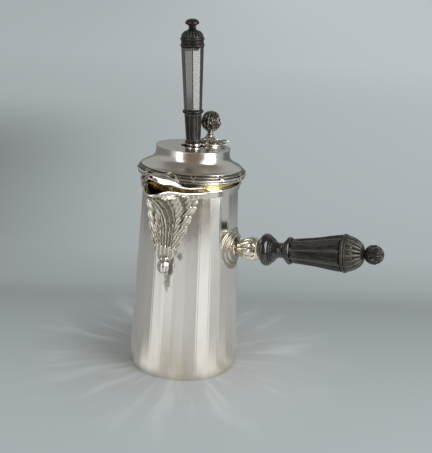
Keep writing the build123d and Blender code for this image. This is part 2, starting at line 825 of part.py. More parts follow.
finial_foot = lid_top_height + artichoke_foot
finial_top = finial_foot + artichoke_height
with BuildPart() as cover_finial:
    add(turned(
        cover_frame,
        (0, cover_foot + 0.1),
        (pivot_radius, cover_foot + 0.1),
        (pivot_radius, cover_top + rosette_height),
        (finial_stem_radius + 0.9, cover_top + rosette_height),
        ((finial_stem_radius, cover_top + rosette_height + 0.9), (finial_stem_radius + 0.5, finial_foot)),
        ((artichoke_radius * 0.84, finial_foot + 2.9), (artichoke_radius, finial_foot + 8.0)),
        ((artichoke_radius * 0.82, finial_foot + 14.6), (3.4, finial_top - 1.3)),
        ((2.0, finial_top - 0.4), (0.5, finial_top)),
        (0, finial_top),
    ))
save("cover_finial", cover_finial.part)

# ---- the stirrer -------------------------------------------------------------------------
with BuildPart() as stirrer_knob:
    add(turned(
        stirrer_frame,
        (0, stirrer_top - 8.5),
        (2.8, stirrer_top - 8.5),
        (2.5, stirrer_top - 7.2),
        (4.4, stirrer_top - 6.2),
        ((knob_radius + 0.2, stirrer_top - 4.0), (4.9, stirrer_top - 1.9)),
        ((3.1, stirrer_top - 0.5), (1.0, stirrer_top)),
        (0, stirrer_top),
    ))
save("stirrer_knob", stirrer_knob.part)

cap_foot = stirrer_top - 16.1
with BuildPart() as stirrer_cap:
    add(turned(
        stirrer_frame,
        (0, cap_foot),
        (cap_dome_radius, cap_foot),
        (cap_dome_radius, cap_foot + 1.6),
        ((8.9, cap_foot + 4.2), (6.4, cap_foot + 6.2)),
        ((4.0, cap_foot + 7.0), (2.8, stirrer_top - 8.5)),
        (0, stirrer_top - 8.5),
    ))
save("stirrer_cap", stirrer_cap.part)

with BuildPart() as stirrer_band:
    add(turned(
        stirrer_frame,
        (0, handle_top),
        (band_radius, handle_top),
        ((stirrer_ring_radius, handle_top + 1.3), (band_radius, handle_top + 2.6)),
        (band_radius - 0.3, handle_top + 2.8),
        (band_radius - 0.3, cap_foot - 2.8),
        (band_radius, cap_foot - 2.6),
        ((stirrer_ring_radius - 0.1, cap_foot - 1.3), (band_radius, cap_foot)),
        (0, cap_foot),
    ))
save("stirrer_band", stirrer_band.part)

with BuildPart() as stirrer_handle:
    for height, radius in ((handle_foot, handle_foot_radius), (handle_top, handle_top_radius)):
        with BuildSketch(level(stirrer_frame, height)):
            RegularPolygon(radius, handle_facets, rotation=facet_turn)
            Circle(handle_foot_radius - 2.4, mode=Mode.SUBTRACT)
    loft(ruled=True)
save("stirrer_handle", stirrer_handle.part)

collar_foot = handle_foot - 3.6
with BuildPart() as stirrer_collar:
    add(turned(
        stirrer_frame,
        (0, collar_foot),
        (shaft_top_radius, collar_foot),
        ((collar_ring_radius, collar_foot + 1.8), (handle_foot_radius + 0.3, handle_foot)),
        (0, handle_foot),
    ))
save("stirrer_collar", stirrer_collar.part)

with BuildPart() as stirrer_shaft:
    add(turned(
        stirrer_frame,
        (0, shaft_foot),
        (shaft_foot_radius, shaft_foot),
        (shaft_top_radius, collar_foot),
        (0, collar_foot),
    ))
save("stirrer_shaft", stirrer_shaft.part)

tube_top = shaft_foot - 2.6
with BuildPart() as stirrer_bead:
    add(turned(
        stirrer_frame,
        (0, tube_top),
        (tube_radius, tube_top),
        ((tube_radius + 0.6, tube_top + 1.3), (shaft_foot_radius + 0.2, shaft_foot)),
        (0, shaft_foot),
    ))
save("stirrer_bead", stirrer_bead.part)

with BuildPart() as stirrer_tube:
    add(rod(stirrer_frame, tube_radius, tube_foot, tube_top))
    add(rod(stirrer_frame, rod_wood_radius + seat, tube_foot - 1, tube_foot + tube_socket), mode=Mode.SUBTRACT)
save("stirrer_tube", stirrer_tube.part)

head_foot = stirrer_foot + 0.45
with BuildPart() as stirrer_head:
    with BuildSketch(level(stirrer_frame, head_foot + 2.0)):
        Circle(head_radius * 0.62)
        with PolarLocations(head_radius / 2, head_blades):
            Rectangle(head_radius - 0.6, head_blade)
    extrude(amount=head_height)
    add(rod(stirrer_frame, head_radius, 0, 60), mode=Mode.INTERSECT)
    add(rod(stirrer_frame, 3.0, head_foot, head_foot + 2.0))
    add(rod(stirrer_frame, rod_wood_radius + seat, head_foot + 10, 60), mode=Mode.SUBTRACT)
    head_pin_plane = Plane(
        origin=stirrer_frame.origin + stirrer_frame.z_dir * (head_foot + head_height - 4),
        z_dir=stirrer_frame.x_dir,
    )
    with BuildSketch(head_pin_plane):
        Circle(cross_pin_radius + seat)
    extrude(amount=head_radius + 2, both=True, mode=Mode.SUBTRACT)
save("stirrer_head", stirrer_head.part)

with BuildPart() as stirrer_rod:
    add(rod(stirrer_frame, rod_wood_radius, head_foot + 10.2, tube_foot + tube_socket - 0.2))
    with BuildSketch(head_pin_plane):
        Circle(cross_pin_radius + seat)
    extrude(amount=head_radius, both=True, mode=Mode.SUBTRACT)
save("stirrer_rod", stirrer_rod.part)

with BuildPart() as head_pin:
    with BuildSketch(head_pin_plane):
        Circle(cross_pin_radius)
    extrude(amount=head_radius * 0.62 - 0.4, both=True)
save("head_pin", head_pin.part)
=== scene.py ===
import math

import bmesh
import bpy
import numpy as np
from mathutils import Matrix, Vector


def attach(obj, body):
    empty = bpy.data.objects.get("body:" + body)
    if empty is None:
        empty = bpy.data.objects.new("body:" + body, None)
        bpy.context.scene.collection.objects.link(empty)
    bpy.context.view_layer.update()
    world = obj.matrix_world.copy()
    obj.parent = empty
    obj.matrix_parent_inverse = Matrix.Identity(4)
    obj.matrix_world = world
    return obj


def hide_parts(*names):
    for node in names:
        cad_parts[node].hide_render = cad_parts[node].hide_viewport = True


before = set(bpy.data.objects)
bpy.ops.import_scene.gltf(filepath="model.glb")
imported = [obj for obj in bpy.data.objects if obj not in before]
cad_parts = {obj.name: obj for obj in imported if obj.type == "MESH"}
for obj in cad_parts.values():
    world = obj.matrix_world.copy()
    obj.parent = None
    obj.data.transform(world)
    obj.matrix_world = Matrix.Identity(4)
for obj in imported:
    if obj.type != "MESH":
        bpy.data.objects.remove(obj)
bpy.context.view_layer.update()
scene = bpy.context.scene
MM = 0.001
TURN = 2 * math.pi

# ---------------------------------------------------------------------------------------
# The pot's main sizes, in millimetres
# ---------------------------------------------------------------------------------------
FACETS = 28
WALL_FOOT_RADIUS, WALL_TOP_RADIUS = 53.0, 44.3
WALL_TOP = 176.6
RIM = 182.3
HINGE = Vector((0, 49.6, 182.57))
LID_TOP = 210.7
COVER_TOP = 212.2
HANDLE_ROOT = 116.1
# the stirrer's wood, as heights along its own line
SHAFT_FOOT = 219.0
HANDLE_FOOT, HANDLE_TOP = 247.5, 303.6


def wall_radius(height):
    """The pot's radius over the facets' edges."""
    return WALL_FOOT_RADIUS - (WALL_FOOT_RADIUS - WALL_TOP_RADIUS) / WALL_TOP * height


# ---------------------------------------------------------------------------------------
# Where its parts stand
# ---------------------------------------------------------------------------------------
def shifted(x, y, z):
    """A place moved along, not turned."""
    return Matrix.Translation((x, y, z))


def standing(x_way, y_way, z_way, origin):
    """A place with its own three directions."""
    return Matrix((
        (x_way[0], y_way[0], z_way[0], origin[0]),
        (x_way[1], y_way[1], z_way[1], origin[1]),
        (x_way[2], y_way[2], z_way[2], origin[2]),
        (0, 0, 0, 1),
    ))


POT = Matrix.Identity(4)
LID_AJAR = math.radians(3.24)
LID = shifted(*HINGE) @ Matrix.Rotation(-LID_AJAR, 4, "X") @ shifted(*-HINGE)

# the side handle: its own Z runs out along the wood
TILT = math.radians(8.6)
HANDLE = standing(
    (-math.sin(TILT), 0, math.cos(TILT)), (0, -1, 0), (math.cos(TILT), 0, math.sin(TILT)),
    (0, 0, HANDLE_ROOT),
)

# the finial, swung open round its pivot
PIVOT_ARM = 17
PIVOT_BEARING = math.radians(122.3)
COVER_OPEN = math.radians(75.4)
PIVOT = Vector((PIVOT_ARM * math.cos(PIVOT_BEARING), PIVOT_ARM * math.sin(PIVOT_BEARING), 0))
COVER = LID @ shifted(*PIVOT) @ Matrix.Rotation(COVER_OPEN, 4, "Z") @ shifted(*-PIVOT)

# the stirrer, leaning in the lid's hole: its own Z counts from the ground
HOLE = LID @ Vector((0, 0, LID_TOP))
STIRRER_WAY = Vector((-0.0473, -0.0228, 1)).normalized()
STIRRER_SIDE = Vector((0, 1, 0)).cross(STIRRER_WAY).normalized()
STIRRER_GROUND = HOLE - STIRRER_WAY * (HOLE.z / STIRRER_WAY.z)
STIRRER = standing(STIRRER_SIDE, STIRRER_WAY.cross(STIRRER_SIDE), STIRRER_WAY, STIRRER_GROUND)

# a turned outline ends this near the axis, which leaves a pinhole too small to be seen
AXIS = 0.05

# a pattern keeps its own unit, and the tree that repeats it works in millimetres
PATTERN = Matrix.Scale(1 / MM, 4)


# ---------------------------------------------------------------------------------------
# Mesh making
# ---------------------------------------------------------------------------------------
def curve(*points, steps=6):
    """A smooth line through points, ends included."""
    p = np.array(points, float)
    p = np.vstack([2 * p[0] - p[1], p, 2 * p[-1] - p[-2]])
    out = []
    for i in range(1, len(p) - 2):
        for t in np.linspace(0, 1, steps, endpoint=False):
            out.append(0.5 * (
                2 * p[i] + (p[i + 1] - p[i - 1]) * t
                + (2 * p[i - 1] - 5 * p[i] + 4 * p[i + 1] - p[i + 2]) * t * t
                + (3 * p[i] - p[i - 1] - 3 * p[i + 1] + p[i + 2]) * t ** 3
            ))
    out.append(p[-2])
    return [tuple(q) for q in out]


def bead(low, high, reach, steps=8):
    """A half round from one point to another, standing out by reach."""
    (r0, h0), (r1, h1) = low, high
    way = np.array([r1 - r0, h1 - h0]) / 2
    out = np.array([way[1], -way[0]]) / max(np.hypot(*way), 1e-6) * reach
    middle = np.array([r0 + r1, h0 + h1]) / 2
    return [tuple(middle - way * math.cos(a) + out * math.sin(a)) for a in np.linspace(0, math.pi, steps)]


def finished(name, mesh, body, material, replaces=(), sharp=38):
    """A piece of the pot from its mesh: shaded, riding on its body, with its finish."""
    mesh.shade_smooth()
    mesh.set_sharp_from_angle(angle=math.radians(sharp))
    piece = bpy.data.objects.new(name, mesh)
    scene.collection.objects.link(piece)
    if material is not None:
        mesh.materials.clear()
        mesh.materials.append(material)
    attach(piece, body)
    if replaces:
        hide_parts(*replaces)
    return piece


# how deep a surface without relief counts, between a ridge at 0, rubbed clean on metal and given a painted
# highlight on wood, and a hollow at 1
PLAIN_DEPTH = 0.3


def woven(name, place, grid, round_rows=False, hollow=None):
    """A mesh from a grid of points: rows along the piece, columns round it."""
    rows, columns = grid.shape[:2]
    spots = grid.reshape(-1, 3)
    turn = np.array(place)
    spots = (spots @ turn[:3, :3].T + turn[:3, 3]) * MM
    row = np.arange(rows if round_rows else rows - 1)[:, None]
    column = np.arange(columns)[None, :]
    next_row, next_column = (row + 1) % rows, (column + 1) % columns
    corners = [
        row * columns + column,
        row * columns + next_column,
        next_row * columns + next_column,
        next_row * columns + column,
    ]
    faces = np.stack(corners, -1).reshape(-1, 4)
    mesh = bpy.data.meshes.new(name)
    mesh.from_pydata(spots.tolist(), [], faces.tolist())
    shade = mesh.attributes.new("hollow", "FLOAT", "POINT")
    depth = np.full(rows * columns, PLAIN_DEPTH) if hollow is None else hollow
    shade.data.foreach_set("value", np.ascontiguousarray(depth, np.float32).reshape(-1))
    close(mesh)
    return mesh


def capped(grid, shade=None):
    """The grid with each end drawn together to its middle, and the shade to match."""
    ends = [np.broadcast_to(row.mean(0), row.shape)[None] for row in (grid[0], grid[-1])]
    closed = np.concatenate([ends[0], grid, ends[1]])
    if shade is None:
        return closed
    return closed, np.concatenate([shade[:1], shade, shade[-1:]])


def close(mesh, reach=1e-6):
    """Joins doubled points and turns the faces outwards."""
    work = bmesh.new()
    work.from_mesh(mesh)
    bmesh.ops.remove_doubles(work, verts=work.verts, dist=reach)
    bmesh.ops.dissolve_degenerate(work, edges=work.edges, dist=reach / 10)
    bmesh.ops.recalc_face_normals(work, faces=work.faces)
    work.to_mesh(mesh)
    work.free()
    mesh.update()


def lathe(name, place, outline, around=96, relief=None, round_rows=False):
    """A turned form from (radius, height) points, with a relief that stands out or in."""
    line = np.array(outline, float)
    along = np.gradient(line, axis=0)
    out = np.stack([along[:, 1], -along[:, 0]], -1)
    out /= np.maximum(np.linalg.norm(out, axis=1, keepdims=True), 1e-9)
    angle = np.linspace(0, TURN, around, endpoint=False)[None, :]
    radius, height = line[:, :1], line[:, 1:]
    lift = np.zeros((len(line), angle.shape[1]))
    hollow = lift + PLAIN_DEPTH
    if relief is not None:
        lift = relief(angle, radius, height) + lift
        spread = lift.max() - lift.min()
        hollow = (lift.max() - lift) / max(spread, 1e-6)
    wide = radius + lift * out[:, :1]
    tall = height + lift * out[:, 1:]
    grid = np.stack([wide * np.cos(angle), wide * np.sin(angle), tall], -1)
    return woven(name, place, grid, round_rows, hollow)


def wire(name, place, points, radius, sides=10):
    """A round wire along a smooth line of points; radius may change along it."""
    path = np.array(points, float)
    count = len(path)
    thick = np.broadcast_to(np.array(radius, float), (count,))
    along = np.gradient(path, axis=0)
    along /= np.linalg.norm(along, axis=1, keepdims=True)
    side = np.cross(along[0], (0.3, 0.2, 1.0))
    rings = []
    for spot, way, size in zip(path, along, thick):
        side = side - way * side.dot(way)
        side /= np.linalg.norm(side)
        up = np.cross(way, side)
        a = np.linspace(0, TURN, sides, endpoint=False)[:, None]
        rings.append(spot + size * (np.cos(a) * side + np.sin(a) * up))
    rings = [np.repeat(path[:1], sides, 0)] + rings + [np.repeat(path[-1:], sides, 0)]
    return woven(name, place, np.array(rings))


def joined(name, *meshes):
    """Several meshes as one, in millimetre places already."""
    work = bmesh.new()
    for mesh in meshes:
        work.from_mesh(mesh)
    whole = bpy.data.meshes.new(name)
    work.to_mesh(whole)
    work.free()
    for mesh in meshes:
        bpy.data.meshes.remove(mesh)
    return whole


def soft_step(low, high, x):
    """0 below low, 1 above high and a smooth rise between them."""
    t = np.clip((x - low) / (high - low), 0, 1)
    return t * t * (3 - 2 * t)


# ---------------------------------------------------------------------------------------
# Finishes
# ---------------------------------------------------------------------------------------
def put(tree, kind, settings=None, sockets=None):
    """A node with its settings, its sockets set or linked by name or number."""
    made = tree.nodes.new(kind)
    for key, value in (settings or {}).items():
        setattr(made, key, value)
    for key, value in (sockets or {}).items():
        if isinstance(value, bpy.types.NodeSocket):
            tree.links.new(value, made.inputs[key])
        else:
            made.inputs[key].default_value = value
    return made


def maths(tree, operation, a, b=0.5, c=0.5, clamp=False):
    """One step of arithmetic on values or sockets."""
    made = put(tree, "ShaderNodeMath", {"operation": operation, "use_clamp": clamp}, {0: a, 1: b, 2: c})
    return made.outputs[0]


def times(tree, a, b):
    """a * b"""
    return maths(tree, "MULTIPLY", a, b)


def plus(tree, a, b):
    """a + b"""
    return maths(tree, "ADD", a, b)


def minus(tree, a, b):
    """a - b"""
    return maths(tree, "SUBTRACT", a, b)


def over(tree, a, b):
    """a / b"""
    return maths(tree, "DIVIDE", a, b)


def times_plus(tree, a, b, c):
    """a * b + c"""
    return maths(tree, "MULTIPLY_ADD", a, b, c)


def between(tree, share, first, last):
    """From first at share 0 to last at share 1."""
    return times_plus(tree, share, minus(tree, last, first), first)


def mixed(tree, share, a, b):
    """A colour between two."""
    made = put(tree, "ShaderNodeMix", {"data_type": "RGBA"}, {0: share, 6: a, 7: b})
    return made.outputs[2]


def ramp(tree, value, low, high):
    """A value taken from low..high to 0..1, smoothly."""
    smooth = {"interpolation_type": "SMOOTHSTEP"}
    made = put(tree, "ShaderNodeMapRange", smooth, {0: value, 1: low, 2: high})
    return made.outputs[0]


def graded(tree, value, stops):
    """A colour that runs through stops, each a place from 0 to 1 and a colour."""
    made = put(tree, "ShaderNodeValToRGB", None, {0: value})
    elements = made.color_ramp.elements
    while len(elements) < len(stops):
        elements.new(0.5)
    for element, (place, colour) in zip(elements, stops):
        element.position = place
        element.color = colour
    return made.outputs[0]


def noise(tree, where, scale, detail=3.0, rough=0.55, warp=0.0):
    """Smooth noise, from 0 to 1."""
    made = put(tree, "ShaderNodeTexNoise", None, {
        "Vector": where, "Scale": scale, "Detail": detail, "Roughness": rough, "Distortion": warp,
    })
    return made.outputs[0]


def stretched(tree, where, x, y, z):
    """A place with its three directions scaled."""
    made = put(tree, "ShaderNodeVectorMath", {"operation": "MULTIPLY"}, {0: where, 1: (x, y, z)})
    return made.outputs[0]


def effect(name, inputs, outputs):
    """An empty shader node group with named inputs and outputs."""
    tree = bpy.data.node_groups.new(name, "ShaderNodeTree")
    for label, kind, value in inputs:
        socket = tree.interface.new_socket(label, in_out="INPUT", socket_type=kind)
        if value is not None:
            socket.default_value = value
    for label, kind in outputs:
        tree.interface.new_socket(label, in_out="OUTPUT", socket_type=kind)
    return tree, tree.nodes.new("NodeGroupInput"), tree.nodes.new("NodeGroupOutput")


def tarnish_effect():
    """Brown-grey tarnish in patches and in the hollows of the chasing."""
    tree, given, told = effect(
        "tarnish",
        [
            ("Place", "NodeSocketVector", None), ("Scale", "NodeSocketFloat", 30.0),
            ("Patches", "NodeSocketFloat", 0.3), ("Hollow", "NodeSocketFloat", 0.0),
            ("In hollows", "NodeSocketFloat", 1.0),
        ],
        [("Mask", "NodeSocketFloat"), ("Roughness", "NodeSocketFloat")],
    )
    place = given.outputs["Place"]
    broad = noise(tree, place, given.outputs["Scale"], 4.0, 0.6, 0.6)
    fine = noise(tree, place, times(tree, given.outputs["Scale"], 9.0), 3.0, 0.6)
    patches = times(tree, ramp(tree, broad, 0.45, 0.75), given.outputs["Patches"])
    deep = times(tree, ramp(tree, given.outputs["Hollow"], 0.35, 0.95), given.outputs["In hollows"])
    deep = times(tree, deep, ramp(tree, fine, 0.1, 0.6))
    mask = maths(tree, "MAXIMUM", patches, deep, clamp=True)
    tree.links.new(mask, told.inputs["Mask"])
    tree.links.new(times(tree, fine, 0.12), told.inputs["Roughness"])
    return tree


def rubbing_effect():
    """Fine rubbed lines and small dents of old metal, as a height."""
    tree, given, told = effect(
        "rubbing",
        [
            ("Place", "NodeSocketVector", None), ("Lines", "NodeSocketFloat", 1.0),
            ("Dents", "NodeSocketFloat", 1.0),
        ],
        [("Height", "NodeSocketFloat")],
    )
    place = given.outputs["Place"]
    lines = noise(tree, stretched(tree, place, 900.0, 900.0, 25.0), 1.0, 3.0, 0.6)
    crossed = noise(tree, stretched(tree, place, 160.0, 160.0, 1400.0), 1.0, 2.0, 0.6)
    dents = noise(tree, place, 55.0, 2.0, 0.5)
    both = times(tree, plus(tree, lines, times(tree, crossed, 0.6)), given.outputs["Lines"])
    height = plus(tree, both, times(tree, dents, given.outputs["Dents"]))
    tree.links.new(height, told.inputs["Height"])
    return tree


def grain_effect():
    """The dense streaks of ebony along a piece."""
    tree, given, told = effect("ebony_grain", [
        ("Place", "NodeSocketVector", None), ("Streaks", "NodeSocketFloat", 1.0),
    ], [("Mask", "NodeSocketFloat"), ("Height", "NodeSocketFloat")])
    place = given.outputs["Place"]
    streaks = noise(tree, place, given.outputs["Streaks"], 5.0, 0.65, 0.4)
    pores = noise(tree, place, times(tree, given.outputs["Streaks"], 4.0), 2.0, 0.5)
    tree.links.new(ramp(tree, streaks, 0.35, 0.7), told.inputs["Mask"])
    tree.links.new(plus(tree, streaks, times(tree, pores, 0.5)), told.inputs["Height"])
    return tree


TARNISH = tarnish_effect()
RUBBING = rubbing_effect()
GRAIN = grain_effect()


def blank(name):
    """A new material with its shader, and the place and hollow that patterns read."""
    material = bpy.data.materials.new(name)
    material.use_nodes = True
    tree = material.node_tree
    tree.nodes.clear()
    shader = tree.nodes.new("ShaderNodeBsdfPrincipled")
    end = tree.nodes.new("ShaderNodeOutputMaterial")
    tree.links.new(shader.outputs[0], end.inputs["Surface"])
    place = tree.nodes.new("ShaderNodeTexCoord").outputs["Object"]
    hollow = put(tree, "ShaderNodeAttribute", {"attribute_name": "hollow"}).outputs["Fac"]
    return material, tree, shader, place, hollow


def bumped(tree, shader, height, strength, distance):
    """Gives a shader fine relief from a height."""
    made = put(tree, "ShaderNodeBump", None, {
        "Strength": strength, "Distance": distance, "Height": height,
    })
    tree.links.new(made.outputs[0], shader.inputs["Normal"])


def metal(name, clean, stained, rough, patches=0.25, in_hollows=0.9, lines=1.0, dents=1.0,
          scale=30.0, bump=0.08, rough_stain=0.25, extra=None):
    """Old silver or gilding: bright where it is rubbed, stained in patches and hollows."""
    material, tree, shader, place, hollow = blank(name)
    worn = put(tree, "ShaderNodeGroup", {"node_tree": TARNISH}, {
        "Place": place, "Scale": scale, "Patches": patches, "Hollow": hollow, "In hollows": in_hollows,
    })
    rubbed = put(tree, "ShaderNodeGroup", {"node_tree": RUBBING}, {
        "Place": place, "Lines": lines, "Dents": dents,
    })
    mask = worn.outputs["Mask"]
    colour = mixed(tree, mask, (*clean, 1), (*stained, 1))
    if extra is not None:
        colour, mask = extra(tree, place, colour, mask)
    tree.links.new(colour, shader.inputs["Base Color"])
    shader.inputs["Metallic"].default_value = 1.0
    roughness = times_plus(tree, mask, rough_stain, plus(tree, worn.outputs["Roughness"], rough - 0.06))
    tree.links.new(roughness, shader.inputs["Roughness"])
    bumped(tree, shader, rubbed.outputs["Height"], bump, 0.0006)
    return material


def wall_stains(tree, place, colour, mask):
    """The wall's warm stain near its foot, the brown marks beside the bud and the gilt inside."""
    parts = put(tree, "ShaderNodeSeparateXYZ", None, {0: place}).outputs
    cloud = noise(tree, stretched(tree, place, 1.0, 1.0, 0.35), 55.0, 4.0, 0.6)
    rough_edge = noise(tree, stretched(tree, place, 1.0, 1.0, 0.4), 260.0, 4.0, 0.7)
    foot = times(tree, ramp(tree, parts[2], 0.075, 0.0), ramp(tree, cloud, 0.2, 0.75))
    warm = (0.64, 0.55, 0.40, 1)
    colour = mixed(tree, times(tree, foot, 0.62), colour, warm)
    # marks: middle, how much they are drawn out upwards, size in metres, depth and colour
    brown, dull = (0.12, 0.085, 0.055, 1), (0.36, 0.37, 0.33, 1)
    for middle, drawn, size, deep, dye in (
        ((0.0062, -0.047, 0.112), 0.28, 0.0048, 0.85, brown),
        ((0.0035, -0.0478, 0.0985), 0.45, 0.0050, 0.7, brown),
        ((0.0132, -0.0453, 0.1225), 0.7, 0.0032, 0.6, brown),
        ((0.0225, -0.0390, 0.149), 0.6, 0.0120, 0.45, dull),
    ):
        spot = (middle[0], middle[1], middle[2] * drawn)
        apart = put(tree, "ShaderNodeVectorMath", {"operation": "DISTANCE"}, {
            0: stretched(tree, place, 1.0, 1.0, drawn), 1: spot,
        })
        ragged = times_plus(tree, minus(tree, rough_edge, 0.5), size * 2.2, apart.outputs["Value"])
        near = times(tree, ramp(tree, ragged, size, size * 0.3), deep)
        colour = mixed(tree, near, colour, dye)
        mask = maths(tree, "MAXIMUM", mask, near)
    # gilt on the inner side, told by its distance from the pot's axis
    square = times(tree, parts[0], parts[0])
    flat = maths(tree, "SQRT", times_plus(tree, parts[1], parts[1], square))
    taper = (WALL_FOOT_RADIUS - WALL_TOP_RADIUS) / WALL_TOP
    edge = times_plus(tree, parts[2], -taper, (WALL_FOOT_RADIUS - 0.95) * MM)
    inside = maths(tree, "LESS_THAN", flat, edge)
    gilt = (0.62, 0.42, 0.16, 1)
    return mixed(tree, inside, colour, gilt), mask


# each metal: clean and stained colour, roughness, patches, stain in hollows, rubbed lines, dents,
# the pattern's scale and the relief's strength
silver_wall = metal(
    "silver_facets", (0.88, 0.87, 0.83), (0.66, 0.62, 0.53), 0.155, 0.34, 0.0, 0.7, 0.5, 14.0, 0.05,
    extra=wall_stains,
)
silver_lid = metal(
    "silver_polished", (0.82, 0.80, 0.76), (0.60, 0.54, 0.45), 0.17, 0.35, 0.5, 0.35, 1.0, 24.0, 0.04,
)
silver_chased = metal(
    "silver_chased", (0.76, 0.74, 0.66), (0.20, 0.185, 0.135), 0.27, 0.25, 1.0, 0.8, 0.8, 90.0, 0.30,
)
silver_reeded = metal(
    "silver_reeded", (0.80, 0.78, 0.72), (0.15, 0.135, 0.10), 0.18, 0.15, 1.0, 0.6, 0.8, 90.0, 0.15,
)
silver_hood = metal(
    "silver_hood", (0.60, 0.58, 0.53), (0.20, 0.18, 0.13), 0.20, 0.55, 0.9, 0.6, 0.9, 110.0, 0.12,
)
silver_plain = metal(
    "silver_rubbed", (0.84, 0.82, 0.77), (0.36, 0.31, 0.23), 0.18, 0.30, 0.8, 0.6, 0.8, 60.0, 0.08,
)
silver_socket = metal(
    "silver_warm", (0.84, 0.80, 0.68), (0.085, 0.065, 0.035), 0.14, 0.25, 1.0, 0.5, 0.6, 110.0, 0.10,
)
silver_dark = metal(
    "silver_blackened", (0.40, 0.38, 0.32), (0.022, 0.020, 0.015), 0.24, 0.60, 1.0, 0.8, 0.8, 120.0, 0.2,
)
gilding = metal("gilding", (0.93, 0.72, 0.34), (0.50, 0.33, 0.13), 0.22, 0.4, 0.6, 0.5, 1.0, 60.0, 0.06)
iron = metal("iron_rod", (0.30, 0.28, 0.26), (0.16, 0.09, 0.05), 0.45, 0.7, 0.5, 1.0, 1.0, 120.0, 0.3)


def wood(
    name, dark, pale, rough, along, streaks=240.0, bump=0.15, coat=0.0, coat_rough=0.1, hollow_tone=0.5,
    shine=0.4, ridge_sheen_and_wear=0.0,
):
    """Close-grained wood, its streaks along one direction."""
    material, tree, shader, place, hollow = blank(name)
    way = stretched(tree, place, *along)
    grain = put(tree, "ShaderNodeGroup", {"node_tree": GRAIN}, {"Place": way, "Streaks": streaks})
    colour = mixed(tree, grain.outputs["Mask"], (*dark, 1), (*pale, 1))
    shade = times(tree, ramp(tree, hollow, 0.4, 1.0), hollow_tone)
    darker = (dark[0] * 0.4, dark[1] * 0.4, dark[2] * 0.4, 1)
    colour = mixed(tree, shade, colour, darker)
    # painted highlight: paler grey streaks on the ridges stand for the bright lines of light along them,
    # and partly for rubbed wear
    ridge_sheen_mask = times(tree, ramp(tree, hollow, 0.20, 0.02), times(tree, grain.outputs["Height"], ridge_sheen_and_wear))
    ridge_sheen_grey = (0.16, 0.15, 0.125, 1)
    colour = mixed(tree, ridge_sheen_mask, colour, ridge_sheen_grey)
    tree.links.new(colour, shader.inputs["Base Color"])
    roughness = times_plus(tree, grain.outputs["Mask"], 0.14, rough)
    tree.links.new(roughness, shader.inputs["Roughness"])
    shader.inputs["Specular IOR Level"].default_value = shine
    shader.inputs["Coat Weight"].default_value = coat
    shader.inputs["Coat IOR"].default_value = 1.7
    shader.inputs["Coat Roughness"].default_value = coat_rough
    bumped(tree, shader, grain.outputs["Height"], bump, 0.0005)
    return material


# each wood: dark and pale colour, roughness, the streaks' way, their scale and relief, then its polish and
# the painted highlight on its ridges
ebony_turned = wood(
    "ebony_turned", (0.006, 0.0057, 0.0054), (0.018, 0.017, 0.016), 0.17, (0.12, 1.0, 1.0), 330.0, 0.12,
    0.5, 0.12, shine=0.5,
)
ebony_carved = wood(
    "ebony_carved", (0.008, 0.0072, 0.0055), (0.050, 0.046, 0.036), 0.26, (0.2, 1.0, 1.0), 420.0, 0.40,
    shine=0.5, ridge_sheen_and_wear=0.55,
)
ebony_stirrer = wood(
    "ebony_stirrer", (0.006, 0.006, 0.0065), (0.016, 0.016, 0.017), 0.15, (1.0, 1.0, 0.35), 620.0, 0.75,
    1.0, 0.09, shine=0.9,
)
ebony_rubbed = wood(
    "ebony_rubbed", (0.009, 0.008, 0.0068), (0.034, 0.030, 0.025), 0.24, (1.0, 1.0, 0.2), 360.0, 0.15,
    shine=0.45, ridge_sheen_and_wear=0.5,
)
stick_wood = wood(
    "stick_wood", (0.10, 0.055, 0.028), (0.21, 0.125, 0.07), 0.5, (1.0, 1.0, 0.06), 260.0, 0.25,
)


# ---------------------------------------------------------------------------------------
# Repeated ornament, grown by geometry nodes
# ---------------------------------------------------------------------------------------
def growth(name, inputs):
    """An empty geometry tree with named inputs, a Finish input and a Geometry output."""
    tree = bpy.data.node_groups.new(name, "GeometryNodeTree")
    for label, kind, value in inputs:
        socket = tree.interface.new_socket(label, in_out="INPUT", socket_type=kind)
        if value is not None:
            socket.default_value = value
    tree.interface.new_socket("Finish", in_out="INPUT", socket_type="NodeSocketMaterial")
    tree.interface.new_socket("Geometry", in_out="OUTPUT", socket_type="NodeSocketGeometry")
    return tree, tree.nodes.new("NodeGroupInput").outputs


def ended(tree, given, geometry):
    """Realize Instances, Set Material and the way out."""
    real = put(tree, "GeometryNodeRealizeInstances", None, {"Geometry": geometry})
    painted = put(tree, "GeometryNodeSetMaterial", None, {
        "Geometry": real.outputs[0], "Material": given["Finish"],
    })
    way_out = tree.nodes.new("NodeGroupOutput")
    tree.links.new(painted.outputs[0], way_out.inputs["Geometry"])


def grown(name, tree, place, values):
    """A tree's result as a plain mesh in the pot's frame; the tree works in millimetres."""
    host = bpy.data.objects.new(name + "_host", bpy.data.meshes.new(name + "_host"))
    scene.collection.objects.link(host)
    modifier = host.modifiers.new("growth", "NODES")
    modifier.node_group = tree
    for item in tree.interface.items_tree:
        if item.item_type == "SOCKET" and item.in_out == "INPUT" and item.name in values:
            modifier[item.identifier] = values[item.name]
    bpy.context.view_layer.update()
    depsgraph = bpy.context.evaluated_depsgraph_get()
    mesh = bpy.data.meshes.new_from_object(host.evaluated_get(depsgraph))
    mesh.name = name
    host.modifiers.remove(modifier)
    bpy.data.objects.remove(host)
    mesh.transform(Matrix.Scale(MM, 4) @ place)
    return mesh


def planned(tree, out, angle, height):
    """A place from its distance from the axis, its angle and its height."""
    return put(tree, "ShaderNodeCombineXYZ", None, {
        0: times(tree, out, maths(tree, "COSINE", angle)),
        1: times(tree, out, maths(tree, "SINE", angle)),
        2: height,
    }).outputs[0]


